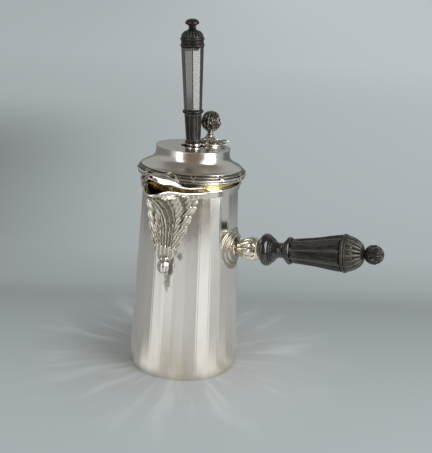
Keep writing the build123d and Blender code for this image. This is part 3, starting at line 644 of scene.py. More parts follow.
def facetted_wall_tree():
    """The pot's tapered wall of flat facets with rounded arrises, as one closed shell."""
    tree, given = growth("facetted_wall", [
        ("Facets", "NodeSocketInt", FACETS), ("Foot radius", "NodeSocketFloat", WALL_FOOT_RADIUS),
        ("Top radius", "NodeSocketFloat", WALL_TOP_RADIUS), ("Height", "NodeSocketFloat", WALL_TOP),
        ("Wall", "NodeSocketFloat", 1.2), ("Arris", "NodeSocketFloat", 0.12),
        ("Hollowing", "NodeSocketFloat", 0.10), ("Rows", "NodeSocketInt", 24),
    ])
    per = 8    # columns in each facet
    columns = times_plus(tree, given["Facets"], float(per), 1.0)
    rows = times_plus(tree, given["Rows"], 2.0, 1.0)
    sheet = put(tree, "GeometryNodeMeshGrid", None, {
        "Size X": 1.0, "Size Y": 1.0, "Vertices X": columns, "Vertices Y": rows,
    })
    index = tree.nodes.new("GeometryNodeInputIndex").outputs[0]
    column = maths(tree, "FLOOR", over(tree, plus(tree, index, 0.5), rows))
    row = minus(tree, index, times(tree, column, rows))
    facet = maths(tree, "FLOOR", over(tree, plus(tree, column, 0.5), float(per)))
    within = minus(tree, column, times(tree, facet, float(per)))
    # places crowd towards the arris: -1 and 1 are arrises, 0 the facet's middle
    even = minus(tree, over(tree, within, per / 2.0), 1.0)
    crowd = maths(tree, "POWER", maths(tree, "ABSOLUTE", even), 0.28)
    crowd = times(tree, maths(tree, "SIGN", even), crowd)
    step = over(tree, TURN, given["Facets"])
    off = times(tree, times(tree, crowd, 0.5), step)
    angle = times_plus(tree, plus(tree, facet, 0.5), step, off)
    level_no = over(tree, row, given["Rows"])
    on_outer = maths(tree, "LESS_THAN", level_no, 0.999)
    inner = maths(tree, "GREATER_THAN", level_no, 0.999)
    inner = times(tree, inner, maths(tree, "LESS_THAN", level_no, 1.999))
    last = minus(tree, given["Rows"], 1.0)
    outer_share = over(tree, row, last)
    inner_share = minus(tree, 1.0, over(tree, minus(tree, row, given["Rows"]), last))
    share = plus(tree, times(tree, inner, inner_share), times(tree, on_outer, outer_share))
    height = times(tree, share, given["Height"])
    corner = between(tree, share, given["Foot radius"], given["Top radius"])
    corner = minus(tree, corner, times(tree, inner, given["Wall"]))
    flat = times(tree, corner, maths(tree, "COSINE", times(tree, step, 0.5)))
    flat = over(tree, flat, maths(tree, "COSINE", off))
    at_arris = ramp(tree, maths(tree, "ABSOLUTE", crowd), 0.86, 1.0)
    dip = minus(tree, 1.0, times(tree, crowd, crowd))
    loss = plus(tree, times(tree, at_arris, given["Arris"]), times(tree, dip, given["Hollowing"]))
    radius = minus(tree, flat, times(tree, loss, minus(tree, 1.0, inner)))
    spot = planned(tree, radius, angle, height)
    bent = put(tree, "GeometryNodeSetPosition", None, {"Geometry": sheet.outputs[0], "Position": spot})
    sewn = put(tree, "GeometryNodeMergeByDistance", None, {
        "Geometry": bent.outputs[0], "Distance": 0.001,
    })
    ended(tree, given, sewn.outputs[0])
    return tree


def strewn(tree, given, line, spot, lean, angle, size):
    """The ornament at each point of a line, once the points are set out, turned and sized."""
    set_out = put(tree, "GeometryNodeSetPosition", None, {"Geometry": line.outputs[0], "Position": spot})
    turn = put(tree, "ShaderNodeCombineXYZ", None, {0: 0.0, 1: lean, 2: angle})
    own_place = {"transform_space": "ORIGINAL"}
    pattern = put(tree, "GeometryNodeObjectInfo", own_place, {"Object": given["Ornament"]})
    dotted = put(tree, "GeometryNodeInstanceOnPoints", None, {
        "Points": set_out.outputs[0], "Instance": pattern.outputs["Geometry"],
        "Rotation": turn.outputs[0], "Scale": size,
    })
    ended(tree, given, dotted.outputs[0])


def scales_tree():
    """Scales in staggered rows over a bulb, from its foot to its crown."""
    tree, given = growth("scales_on_bulb", [
        ("Ornament", "NodeSocketObject", None), ("Rows", "NodeSocketInt", 6),
        ("In a row", "NodeSocketInt", 8), ("Radius", "NodeSocketFloat", 8.0),
        ("Half height", "NodeSocketFloat", 9.0), ("Middle", "NodeSocketFloat", 0.0),
        ("First", "NodeSocketFloat", 0.3), ("Last", "NodeSocketFloat", 2.6),
        ("Size", "NodeSocketFloat", 6.0), ("Crown size", "NodeSocketFloat", 3.0),
        ("Lift", "NodeSocketFloat", 0.2),
    ])
    many = times(tree, given["Rows"], given["In a row"])
    line = put(tree, "GeometryNodeMeshLine", None, {"Count": many})
    index = tree.nodes.new("GeometryNodeInputIndex").outputs[0]
    row = maths(tree, "FLOOR", over(tree, plus(tree, index, 0.5), given["In a row"]))
    place = minus(tree, index, times(tree, row, given["In a row"]))
    share = over(tree, row, minus(tree, given["Rows"], 1.0))
    slope = between(tree, share, given["First"], given["Last"])
    stagger = times(tree, maths(tree, "MODULO", row, 2.0), 0.5)
    angle = times(tree, over(tree, plus(tree, place, stagger), given["In a row"]), TURN)
    out = times(tree, maths(tree, "SINE", slope), given["Radius"])
    height = minus(tree, given["Middle"], times(tree, maths(tree, "COSINE", slope), given["Half height"]))
    lean = plus(tree, minus(tree, math.pi / 2, slope), given["Lift"])
    size = between(tree, share, given["Size"], given["Crown size"])
    strewn(tree, given, line, planned(tree, out, angle, height), lean, angle, size)
    return tree


def ring_tree():
    """One ornament repeated at even steps round an axis."""
    tree, given = growth("ornament_ring", [
        ("Ornament", "NodeSocketObject", None), ("Count", "NodeSocketInt", 8),
        ("First angle", "NodeSocketFloat", 0.0), ("Step", "NodeSocketFloat", 0.785),
        ("Radius", "NodeSocketFloat", 0.0), ("Height", "NodeSocketFloat", 0.0),
        ("Lean", "NodeSocketFloat", 0.0), ("Size", "NodeSocketFloat", 1.0),
    ])
    line = put(tree, "GeometryNodeMeshLine", None, {"Count": given["Count"]})
    index = tree.nodes.new("GeometryNodeInputIndex").outputs[0]
    angle = times_plus(tree, index, given["Step"], given["First angle"])
    spot = planned(tree, given["Radius"], angle, given["Height"])
    strewn(tree, given, line, spot, given["Lean"], angle, given["Size"])
    return tree


WALL_TREE = facetted_wall_tree()
SCALES_TREE = scales_tree()
RING_TREE = ring_tree()


def repeated(name, tree, place, ornament, values):
    """An ornament's copies as a plain mesh. The ornament itself is taken away once the tree has run."""
    pattern = bpy.data.objects.new(ornament.name, ornament)
    scene.collection.objects.link(pattern)
    pattern.hide_render = True
    mesh = grown(name, tree, place, {"Ornament": pattern, **values})
    bpy.data.objects.remove(pattern)
    return mesh


def scale_mesh(name, width, thick, wrap, bow, across=17, along=9):
    """A pointed leaf wrapped to a bulb: it grows up from the origin, facing +X, one unit high."""
    u = np.linspace(-1, 1, across)[None, :]
    v = np.linspace(0, 1, along)[:, None]
    half = width * np.sin(np.pi * np.clip(v * 0.80 + 0.20, 0, 1)) ** 0.8
    y = u * half
    z = v - 0.12 * np.abs(u) * v
    rim = 0.6 * np.exp(-((np.abs(u) - 0.84) / 0.14) ** 2)
    midrib = 0.8 * np.exp(-(u / 0.14) ** 2)
    face = thick * (0.4 + rim + midrib) * (1 - 0.3 * v) - wrap * y * y - bow * z * z
    back = face - thick * 1.2 * (1 - 0.6 * u * u) - 0.01
    front = np.stack([face, y + 0 * v, z + 0 * u], -1)
    rear = np.stack([back, y + 0 * v, z + 0 * u], -1)
    dark = 1.0 - 1.1 * np.exp(
        -((np.abs(u) - 0.94) / 0.11) ** 2
    ) - 0.6 * np.exp(-(u / 0.10) ** 2) + 0.6 * (1 - v) ** 4
    shade = np.concatenate([np.clip(dark, 0, 1)] * 2, 1)
    grid, shade = capped(np.concatenate([front, rear[:, ::-1]], 1), shade)
    return woven(name, PATTERN, grid, hollow=shade)


def leaf_mesh(name, length, width, thick, bend, ribs=0.0, point=1.0, along=14, across=11):
    """A leaf in millimetres: it runs out along +X from the origin, its face up, and bends by a curve."""
    u = np.linspace(-1, 1, across)[None, :]
    v = np.linspace(0, 1, along)[:, None]
    half = width * np.clip(np.sin(np.pi * (0.12 + 0.88 * v) ** 0.8), 0.02, 1) ** point
    x = v * length
    rise = np.interp(v[:, 0], np.linspace(0, 1, len(bend)), bend)[:, None]
    slope = np.gradient(rise[:, 0], x[:, 0])[:, None]
    tilt = np.arctan(slope)
    face = thick * (1 - 0.8 * u * u) + ribs * np.exp(-(u / 0.16) ** 2) - ribs * np.exp(
        -((np.abs(u) - 0.42) / 0.15) ** 2
    )
    top = np.stack([x - face * np.sin(tilt), u * half + 0 * v, rise + face * np.cos(tilt)], -1)
    low = np.stack([x + 0 * u, u * half * 0.98 + 0 * v, rise - 0.15 + 0 * u], -1)
    shade = np.clip(0.15 + np.abs(u) * 0.6 + (1 - v) * 0.5, 0, 1) * np.ones_like(top[..., 0])
    shade = np.concatenate([shade, np.ones_like(shade)], 1)
    grid, shade = capped(np.concatenate([top, low[:, ::-1]], 1), shade)
    return woven(name, PATTERN, grid, hollow=shade)


# ---------------------------------------------------------------------------------------
# The pot's wall, rim and spout
# ---------------------------------------------------------------------------------------
# levels of the spout: height, reach of its tip, half spread of its root in degrees, tip radius
SPOUT_LEVELS = np.array((
    (148.0, 46.3, 6, 3.0), (158, 49.6, 15, 4.0), (168, 56.6, 27, 5.5),
    (177, 67.4, 38, 7.4), (184.9, 78.7, 48, 9.0), (192.3, 84.7, 52, 10.0),
))


def spout_at(height, inset=0.0):
    """The spout's tip middle, tip radius, touching point and root point at a height, on the +X side."""
    reach, spread, tip = (np.interp(height, SPOUT_LEVELS[:, 0], SPOUT_LEVELS[:, k]) for k in (1, 2, 3))
    root_r = wall_radius(min(height, WALL_TOP)) - 1.0
    root = np.array([root_r * math.sin(math.radians(spread)), -root_r * math.cos(math.radians(spread))])
    middle = np.array([0.0, tip - reach])
    way = root - middle
    lean = math.atan2(way[1], way[0]) - math.acos(tip / np.hypot(*way))
    side = np.array([math.cos(lean), math.sin(lean)])
    return middle, tip - inset, middle + side * (tip - inset), root - side * inset


def front(x, height):
    """How far the wall or the spout stands out towards -Y at a place across and a height."""
    r = wall_radius(height)
    wall = math.sqrt(max(r * r - x * x, 0)) * 0.9975
    if height <= SPOUT_LEVELS[0, 0]:
        return wall
    middle, tip, touch, root = spout_at(height)
    a = abs(x)
    if a < touch[0]:
        out = -middle[1] + math.sqrt(max(tip * tip - a * a, 0))
    elif a < root[0]:
        out = -(touch[1] + (root[1] - touch[1]) * (a - touch[0]) / (root[0] - touch[0]))
    else:
        out = 0
    return max(wall, out)


def throat():
    """The opening from the pot into the spout, as a closed block."""
    rings = []
    for height in (148.2, 153, 158, 163, 168, 172.5, 177, 181, 186):
        middle, tip, touch, root = spout_at(height, 1.2)
        start = math.atan2(touch[1] - middle[1], touch[0])
        arc = np.linspace(start, -math.pi - start, 9)
        ring = [(root[0], root[1])]
        ring += [(middle[0] + tip * math.cos(a), middle[1] + tip * math.sin(a)) for a in arc]
        ring.append((-root[0], root[1]))
        rings.append([(x, y, height) for x, y in ring])
    return woven("throat", POT, capped(np.array(rings)))


def pot_wall():
    """The facetted wall, open into the spout."""
    mesh = grown("pot_wall", WALL_TREE, POT, {"Arris": 0.28, "Hollowing": 0.14, "Finish": silver_wall})
    close(mesh, 1e-7)
    piece = bpy.data.objects.new("pot_wall", mesh)
    cutter = bpy.data.objects.new("throat", throat())
    for thing in (piece, cutter):
        scene.collection.objects.link(thing)
    cut = piece.modifiers.new("throat", "BOOLEAN")
    cut.object = cutter
    cut.operation = "DIFFERENCE"
    cut.solver = "EXACT"
    bpy.context.view_layer.update()
    opened = bpy.data.meshes.new_from_object(piece.evaluated_get(bpy.context.evaluated_depsgraph_get()))
    bpy.data.objects.remove(piece)
    bpy.data.objects.remove(cutter)
    return finished("facetted_wall", opened, "pot", silver_wall, ("body_wall",), 30)


LEAF_FOOT, LEAF_TOP = 117.0, 181.6
# the leaf's edge before its lobes: height and half width
LEAF_EDGE = np.array((
    (117, 2.0), (118, 6.2), (120, 7.6), (124, 9.8), (131, 12.4), (138, 15.0), (149, 18.5), (160, 21.5),
    (168, 24.0), (182, 25.2),
))


def leaf_half_width(height):
    """Half the acanthus leaf's width before its lobes."""
    return np.interp(height, LEAF_EDGE[:, 0], LEAF_EDGE[:, 1])


def ribbed_width(height):
    """Half the width of the leaf's ribbed middle."""
    return 4.8 + 5.2 * (height - LEAF_FOOT) / (LEAF_TOP - LEAF_FOOT)


def lobe_share(x, height):
    """Where a place lies across the steep lobe of the side leaf that it is on, from 0 to 1."""
    slant, pitch = 2.0, 5.6
    return np.mod((height - LEAF_FOOT - slant * (x - ribbed_width(height))) / pitch, 1)


def leaf_relief(u, height):
    """How far the leaf stands out: long ribs, steep lobes beside them and a calyx at the foot."""
    a = np.abs(u)
    w = leaf_half_width(height)
    x = a * w
    share = (height - LEAF_FOOT) / (LEAF_TOP - LEAF_FOOT)
    middle = ribbed_width(height)
    f = lobe_share(x, height)
    lobes = 0.2 + 0.95 * np.sin(np.pi * f) ** 0.6 + 0.25 * np.exp(-((f - 0.5) / 0.12) ** 2)
    cleft = np.exp(
        -((x - middle - 0.42 * (w - middle)) / (0.5 + 1.2 * share)) ** 2
    ) * soft_step(0.4, 0.6, share)
    spacing = middle / 2.4
    apart = np.abs(np.mod(x / spacing + 0.5, 1) - 0.5) * spacing
    ribs = 1.3 * np.exp(-(apart / 0.5) ** 2)
    side = soft_step(middle - 0.6, middle + 0.6, x)
    edge = 0.5 * np.exp(-((a - 0.95) / 0.05) ** 2)
    leaf = 0.5 + 0.25 * share + (1 - side) * ribs + side * (lobes + edge - 1.2 * cleft)
    petal = np.abs(np.cos(np.pi * x / 4.2))
    calyx = 1.5 + 0.75 * petal ** 0.6
    in_calyx = soft_step(0.0, 0.8, 126.4 + 5.2 * petal ** 0.7 - height)
    return leaf * (1 - in_calyx) + calyx * in_calyx


def acanthus():
    """The acanthus leaf under the spout, laid over the wall and the spout's underside."""
    rows, columns = 200, 141
    heights = np.linspace(LEAF_FOOT, LEAF_TOP, rows)
    u = np.linspace(-1, 1, columns)
    top = np.zeros((rows, columns, 3))
    low = np.zeros((rows, columns, 3))
    lift = np.zeros((rows, columns))
    for i, height in enumerate(heights):
        w = leaf_half_width(height)
        scallop = 1.0 + 0.10 * (math.sin(math.pi * float(lobe_share(w, height))) ** 0.6 - 0.6)
        for j, share in enumerate(u):
            x = share * w * scallop
            stand = float(leaf_relief(np.float64(share), height))
            stand *= 1 - soft_step(0.975, 1.0, abs(share)) * 0.8
            base = front(x, height)
            slant = (front(x + 0.4, height) - front(x - 0.4, height)) / 0.8
            rise = (front(x, height + 0.5) - front(x, height - 0.5)) / 1.0
            size = math.sqrt(1 + slant * slant + rise * rise)
            lean = min(max(rise / size, -1), 1)
            top[i, j] = (x - slant / size * stand, -(base + stand / size), height - lean * stand)
            low[i, j] = (x, -(base - 0.35), height)
            lift[i, j] = stand
    top[..., 2] = np.minimum(top[..., 2], LEAF_TOP - 0.4)
    shade = np.clip((1.85 - lift) / 1.1, 0, 1)
    grid = np.concatenate([top, low[:, ::-1]], 1)
    shade = np.concatenate([shade, np.ones_like(shade)], 1)
    ends = [np.broadcast_to(row[columns // 2], grid[0].shape)[None] for row in (low[0], low[-1])]
    grid = np.concatenate([ends[0], grid, ends[1]])
    shade = np.concatenate([shade[:1], shade, shade[-1:]])
    mesh = woven("acanthus", POT, grid, hollow=shade)
    return finished("acanthus_leaf", mesh, "pot", silver_chased, ("spout_leaf",), 50)


def bud():
    """The small bud that the leaf grows from."""
    middle = 112.6
    place = shifted(0, -wall_radius(middle) - 2.2, middle)

    def petals(angle, radius, height):
        belly = soft_step(-7.6, -3.0, height) * (1 - soft_step(2.6, 4.6, height))
        crown = soft_step(5.6, 7.0, height)
        return 0.6 * np.abs(np.cos(2.5 * angle)) * belly + 0.3 * np.abs(np.cos(4 * angle)) * crown

    outline = curve(
        (AXIS, -7.8), (2.9, -7.0), (4.8, -4.4), (5.2, -1.2), (4.8, 1.8), (3.6, 4.2), (2.6, 5.1),
    )
    outline += curve((2.6, 5.2), (4.3, 6.0), (4.8, 7.2), (4.3, 8.4), (2.8, 9.2), (AXIS, 9.6))
    mesh = lathe("bud", place, outline, 80, petals)
    return finished("leaf_root_bud", mesh, "pot", silver_plain, ("leaf_bud",))


def lip_wire():
    """The bead along the spout's lip."""
    half = [
        (34.0, -30.5, RIM), (31.0, -36.6, RIM), (26.5, -44.5, 182.7), (19.6, -55.5, 184.4),
        (12.7, -66.5, 187.3), (8.8, -72.8, 187.4), (5.4, -76.9, 186.2), (0.0, -78.4, 185.2),
    ]
    whole = half + [(-x, y, z) for x, y, z in half[-2::-1]]
    mesh = wire("lip_wire", POT, curve(*whole, steps=5), 1.1, 12)
    return finished("lip_bead", mesh, "pot", silver_plain, ("spout_wire",))


# ---------------------------------------------------------------------------------------
# The side handle
# ---------------------------------------------------------------------------------------
# along the handle's own line: the grip's two ends
GRIP_FOOT, GRIP_TOP = 105.5, 153.4


def boss():
    """The stepped boss that the handle's socket stands on, draped over the wall."""
    middle = HANDLE_ROOT + wall_radius(HANDLE_ROOT) * math.tan(TILT)
    steps = curve(
        (19.5, 0.0), (19.2, 0.8), (18.2, 1.1), (16.4, 0.9), (15.8, 1.2), (15.3, 2.0), (14.4, 2.1),
        (12.9, 1.8), (12.3, 2.2), (11.8, 3.2), (10.9, 3.5), (9.2, 3.3), (7.0, 3.4), steps=5,
    )
    reach = np.array([p[0] for p in steps])[:, None]
    rise = np.array([p[1] for p in steps])[:, None]
    around = np.linspace(0, TURN, 128, endpoint=False)[None, :]
    bites = 1 + 0.02 * np.abs(np.sin(around * 8)) * soft_step(17.5, 19.0, reach)
    y = reach * np.cos(around) * bites
    z = middle + reach * np.sin(around) * bites
    r = wall_radius(z)
    base = np.sqrt(np.maximum(r * r - y * y, 1)) * 0.9965
    normal_x = base / r
    normal_y = y / r
    grid = np.stack([base + rise * normal_x, y + rise * normal_y, z + 0 * rise], -1)
    back = np.stack([base[-1:] - 1.0, y[-1:], z[-1:]], -1)
    under = np.stack([base[:1] - 1.0, y[:1], z[:1]], -1)
    shade = np.clip(1.1 - np.abs(np.gradient(rise[:, 0]))[:, None] * 3 + 0 * y, 0, 1)
    grid = np.concatenate([under, grid, back])
    shade = np.concatenate([shade[:1], shade, shade[-1:]])
    mesh = woven("boss", POT, grid, True, shade)
    return finished("handle_boss_steps", mesh, "pot", silver_plain, ("handle_boss",))


def boss_leaf():
    """The small curled leaf lying over the top of the boss."""
    bearing = math.radians(96)
    leaf = leaf_mesh("curl", length=8, width=3.4, thick=1.0, bend=(0.0, 0.8, 1.6, 2.6, 2.0), ribs=0.3)
    place = standing(
        (0.07, math.cos(bearing), math.sin(bearing)), (0, -math.sin(bearing), math.cos(bearing)),
        (1, 0, 0), (49.8, 0, 130.5),
    )
    leaf.transform(Matrix.Scale(MM, 4) @ place)
    return finished("boss_curl", joined("boss_curl", leaf), "pot", silver_chased, (), 50)


def socket():
    """The silver socket, with a scroll ring at its root and gadroons over its belly."""
    def gadroons(angle, radius, height):
        zone = soft_step(50.6, 53.0, height) * (1 - soft_step(71.0, 72.0, height))
        return (np.abs(np.cos(angle * 4)) ** 0.5 - 0.8) * 0.13 * radius * zone

    outline = curve(
        (8.4, 44.5), (8.6, 46.0), (8.9, 47.2), (8.3, 48.4), (6.6, 49.3), (5.5, 50.4), (5.7, 52.0),
        (6.9, 54.5), (8.4, 57.5), (9.8, 61.0), (10.8, 64.5), (11.1, 67.2), (10.5, 69.8), (9.3, 71.6),
        (8.6, 72.6), steps=5,
    )
    mesh = lathe(
        "socket", HANDLE, [(4.7, 44.5)] + outline + [(4.7, 72.6)], 144, gadroons, round_rows=True,
    )
    return finished(
        "handle_socket_gadrooned", mesh, "pot", silver_socket, ("handle_socket",), 50,
    )


def socket_bead():
    """The plain bead round the socket's mouth."""
    outline = [(4.7, 72.6), (8.6, 72.6)] + bead((8.7, 72.6), (8.7, 75.0), 1.1) + [(4.7, 75.0)]
    mesh = lathe("socket_bead", HANDLE, outline, 96, round_rows=True)
    return finished("socket_mouth_bead", mesh, "pot", silver_socket, ("socket_ring",))


def neck():
    """The turned ebony neck: a wide disc, a waist and a collar."""
    outline = [(AXIS, 57.3), (4.6, 57.3), (4.6, 75.0)]
    outline += curve((9.4, 75.0), (11.6, 76.4), (13.4, 78.0), (13.7, 78.4), steps=4)
    outline += curve(
        (13.9, 78.5), (14.6, 79.6), (14.8, 81.0), (14.3, 82.9), (13.3, 84.3), (12.4, 85.2), steps=4,
    )
    outline += bead((11.3, 85.3), (11.1, 86.9), 0.6, 6) + bead((10.2, 87.0), (9.9, 88.4), 0.5, 6)
    outline += curve(
        (9.0, 88.6), (8.0, 90.4), (7.1, 92.6), (6.9, 94.8), (7.3, 97.2), (8.2, 99.0), steps=5,
    )
    outline += bead((8.7, 99.1), (9.0, 100.3), 0.45, 6) + bead((9.8, 100.4), (10.2, 101.6), 0.5, 6)
    outline += curve(
        (11.2, 101.7), (12.3, 102.4), (12.55, 103.4), (12.1, 104.6), (11.2, 105.4), (10.6, GRIP_FOOT),
        steps=4,
    )
    outline += [(AXIS, GRIP_FOOT)]
    mesh = lathe("neck", HANDLE, outline, 96)
    return finished("handle_neck_turned", mesh, "pot", ebony_turned, ("handle_neck",), 42)


def grip():
    """The carved ebony grip: eight sides, each hollowed by long gouged grooves."""
    def gouges(angle, radius, height):
        step = TURN / 8
        off = np.mod(angle + step / 2, step) - step / 2
        flat = math.cos(step / 2) / np.cos(off) - 1
        share = (height - GRIP_FOOT) / (GRIP_TOP - GRIP_FOOT)
        across = off / (step / 2)
        groove = 0.07 * np.cos(across * math.pi * 2.0) + 0.10 * np.cos(across * math.pi * 6 + share * 1.2)
        deep = 1.3 * soft_step(0.02, 0.18, share) * (1 - soft_step(0.9, 1.0, share))
        hollowed = -(1 - np.abs(across) ** 1.6) * 0.045 * deep
        return radius * (flat + hollowed + 0.20 * groove * deep * (1 - np.abs(across) ** 4))

    outline = [(AXIS, GRIP_FOOT)]
    outline += curve(
        (10.9, GRIP_FOOT), (11.3, 110), (12.1, 118), (13.0, 126.9), (14.2, 135), (15.2, 141), (16.1, 148),
        (16.5, GRIP_TOP), steps=7,
    )
    outline.append((AXIS, GRIP_TOP))
    mesh = lathe("grip", HANDLE, outline, 320, gouges)
    return finished("handle_grip_carved", mesh, "pot", ebony_carved, ("handle_grip",), 50)


def cap():
    """The ring and the carved dome at the grip's end."""
    def gadroons(angle, radius, height):
        zone = soft_step(158.4, 159.6, height) * (1 - soft_step(169.8, 170.8, height))
        long_leaf = np.abs(np.cos(angle * 9)) ** 0.5
        between = np.abs(np.cos(angle * 18)) ** 0.6 * (1 - soft_step(162.5, 165.5, height))
        return (np.maximum(long_leaf, 0.9 * between) - 0.75) * 1.5 * zone

    outline = [(AXIS, GRIP_TOP), (15.9, GRIP_TOP)]
    outline += bead((16.1, 153.5), (16.1, 156.4), 1.2, 9) + bead((15.6, 156.5), (15.4, 158.2), 0.7, 7)
    outline += curve(
        (15.4, 158.5), (14.9, 160.2), (13.7, 163.2), (12.0, 166.2), (9.6, 168.8), (7.2, 170.5),
        (6.2, 171.0), steps=7,
    )
    outline += [(AXIS, 171.0)]
    mesh = lathe("cap", HANDLE, outline, 216, gadroons)
    return finished("handle_cap_carved", mesh, "pot", ebony_carved, ("handle_cap",), 50)


def cone():
    """The handle's end: a bud of overlapping leaves on a short stem."""
    core = [(AXIS, 171.0), (4.4, 171.0), (4.5, 172.0), (2.6, 172.7), (2.4, 173.4)]
    core += curve(
        (2.4, 173.5), (5.0, 174.6), (7.2, 177.2), (7.5, 180), (6.4, 183.4), (4.6, 186.2), (2.6, 188.3),
        (AXIS, 189.2), steps=5,
    )
    stem = lathe("cone_core", HANDLE, core, 64)
    scale = scale_mesh("cone_scale", width=0.46, thick=0.15, wrap=0.42, bow=0.34)
    scales = repeated("cone_scales", SCALES_TREE, HANDLE @ shifted(0, 0, 180.4), scale, {
        "Rows": 5, "In a row": 8, "Radius": 7.3, "Half height": 8.0, "First": 0.62, "Last": 2.35,
        "Size": 6.6, "Crown size": 5.2, "Lift": 0.05, "Finish": ebony_carved,
    })
    return finished(
        "handle_bud_carved", joined("cone", stem, scales), "pot", ebony_carved, ("handle_finial",),
        50,
    )


# ---------------------------------------------------------------------------------------
# The lid
# ---------------------------------------------------------------------------------------
def lid_cove():
    """The lid's hollow-sided dome between its moulding and its flat top."""
    outer = [(46.7, 192.55)]
    outer += curve(
        (46.7, 193.3), (45.2, 194.4), (42.4, 195.7), (39.2, 197.4), (36.6, 199.3), (35.0, 201.6),
        (34.1, 204.6), (33.75, 209.5), steps=6,
    )
    inner = curve(
        (32.5, 209.5), (32.5, 205.0), (33.4, 201.0), (35.8, 198.2), (39.6, 196.0), (43.2, 194.3),
        (45.5, 193.2), steps=4,
    )
    inner.append((45.5, 192.55))
    mesh = lathe("cove", LID, outer + inner, 144, round_rows=True)
    return finished("lid_cove", mesh, "lid", silver_lid, ("lid_shell",))


def ribbon_mesh():
    """A pair of bands that wrap the reeds, in millimetres, centred on the origin with +X outwards."""
    outline = np.array([
        (-4.4, -3.95), (-3.0, -3.9), (-1.15, -3.1), (-0.6, -1.9), (-0.15, -0.6), (0.15, 0.3), (0.0, 1.4),
        (-0.9, 2.4), (-1.6, 3.2), (-3.2, 3.9), (-4.4, 3.95),
    ])
    away = np.linspace(0, 1, len(outline))
    bands = []
    for way in (-1, 1):
        sides = []
        for edge in (-0.85, -0.7, 0.7, 0.85):
            lift = 0.42 if abs(edge) < 0.8 else 0.0
            y = way * (away - 0.5) * 6.2 + edge
            sides.append(np.stack([outline[:, 0] + lift, y, outline[:, 1]], -1))
        grid = np.stack(sides, 1)
        under = grid[:, ::-1] - np.array([0.5, 0, 0])
        loop = np.concatenate([grid, under], 1)
        shade = np.concatenate(
            [np.tile([0.9, 0.2, 0.2, 0.9], (len(outline), 1)), np.ones((len(outline), 4))], 1,
        )
        bands.append(woven("band", PATTERN, loop, hollow=shade))
    return joined("ribbon", *bands)


# degrees from the middle of the spout to the moulding's ends
MOULDING_END = 9.0


def moulding():
    """The reed moulding round the lid, bound by crossed ribbons, open over the spout."""
    outline = [(44.5, 184.7)]
    for low, high, out, steps in (
        ((48.3, 184.75), (48.3, 187.05), 1.35, 8), ((48.7, 187.1), (48.7, 189.5), 1.75, 9),
        ((48.1, 189.55), (47.6, 191.7), 1.1, 8),
    ):
        outline += bead(low, high, out, steps)
    outline = np.array(outline + [(46.75, 192.2), (44.5, 192.2)])
    count = 300
    angle = np.radians(np.linspace(-90 + MOULDING_END, 270 - MOULDING_END, count))
    grid = np.zeros((count, len(outline), 3))
    grid[..., 0] = outline[:, 0] * np.cos(angle)[:, None]
    grid[..., 1] = outline[:, 0] * np.sin(angle)[:, None]
    grid[..., 2] = outline[:, 1]
    depth = np.clip((51 - outline[:, 0]) / 2.6, 0, 1)
    grid, shade = capped(grid, np.tile(depth, (count, 1)))
    reeds = woven("reeds", LID, grid, hollow=shade)
    bands = repeated("bands", RING_TREE, LID, ribbon_mesh(), {
        "Count": 11, "First angle": math.radians(-62.5), "Step": math.radians(30.5), "Radius": 50.1,
        "Height": 188.35, "Finish": silver_reeded,
    })
    return finished(
        "reed_moulding", joined("moulding", reeds, bands), "lid", silver_reeded, ("lid_moulding",),
        50,
    )


# the hood's stations: reach from the axis, half width, foot and ridge
HOOD = np.array((
    (38.0, 30.4, 182.2, 191.4), (41.0, 28.6, 182.3, 191.8), (50.0, 23.0, 182.5, 192.8),
    (58.0, 18.0, 184.4, 194.0), (66.0, 12.9, 187.6, 194.9), (73.0, 8.3, 188.4, 195.5),
    (76.5, 5.0, 190.2, 195.7), (78.4, 2.2, 192.8, 195.8),
))
HOOD_GAUGE = 1.0


def hood():
    """The hood over the spout: a thin sheet from under the moulding, with a rolled bead and end knots."""
    rows, columns = 46, 61
    reach = np.linspace(HOOD[0, 0], HOOD[-1, 0], rows)[:, None]
    spread, foot, ridge = (np.interp(reach, HOOD[:, 0], HOOD[:, k]) for k in (1, 2, 3))
    turn = np.linspace(0, math.pi, columns)[None, :]
    across = np.sign(np.cos(turn)) * np.abs(np.cos(turn)) ** 0.9
    # out over the spout the section is an arch, and under the moulding a bell
    arch = np.sin(turn) ** 0.85
    bell = 1 / (1 + (np.abs(across) / 0.3) ** 2.2)
    bell = (bell - bell.min()) / (1 - bell.min())
    under_moulding = 1 - soft_step(51, 62, reach)
    x = spread * across
    z = foot + (ridge - foot) * (arch * (1 - under_moulding) + bell * under_moulding)
    face = np.stack([x, -reach + 0 * x, z], -1)
    slope_x, slope_z = np.gradient(x, axis=1), np.gradient(z, axis=1)
    size = np.maximum(np.hypot(slope_x, slope_z), 1e-6)
    inner = face - HOOD_GAUGE * np.stack([slope_z / size, 0 * x, -slope_x / size], -1)
    sheet = woven("sheet", LID, np.concatenate([face, inner[:, ::-1]], 1))
    edge = [tuple(p) for p in face[:, 0]] + [tuple(p) for p in face[::-1, -1]]
    rolled = wire("rolled", LID, edge[::2] + [edge[-1]], 1.0, 10)
    tip = wire("tip", LID, [tuple(p) for p in face[-1, ::4]], 0.6, 8)
    knots = []
    for side in (-1, 1):
        place = LID @ shifted(side * HOOD[0, 1], -HOOD[0, 0], HOOD[0, 2])
        knots.append(
            lathe("knot", place, curve((AXIS, -1.7), (1.3, -1.2), (1.8, 0), (1.3, 1.2), (AXIS, 1.7)), 24)
        )
    return finished(
        "spout_hood", joined("hood", sheet, rolled, tip, *knots), "lid", silver_hood, ("lid_hood",),
        50,
    )


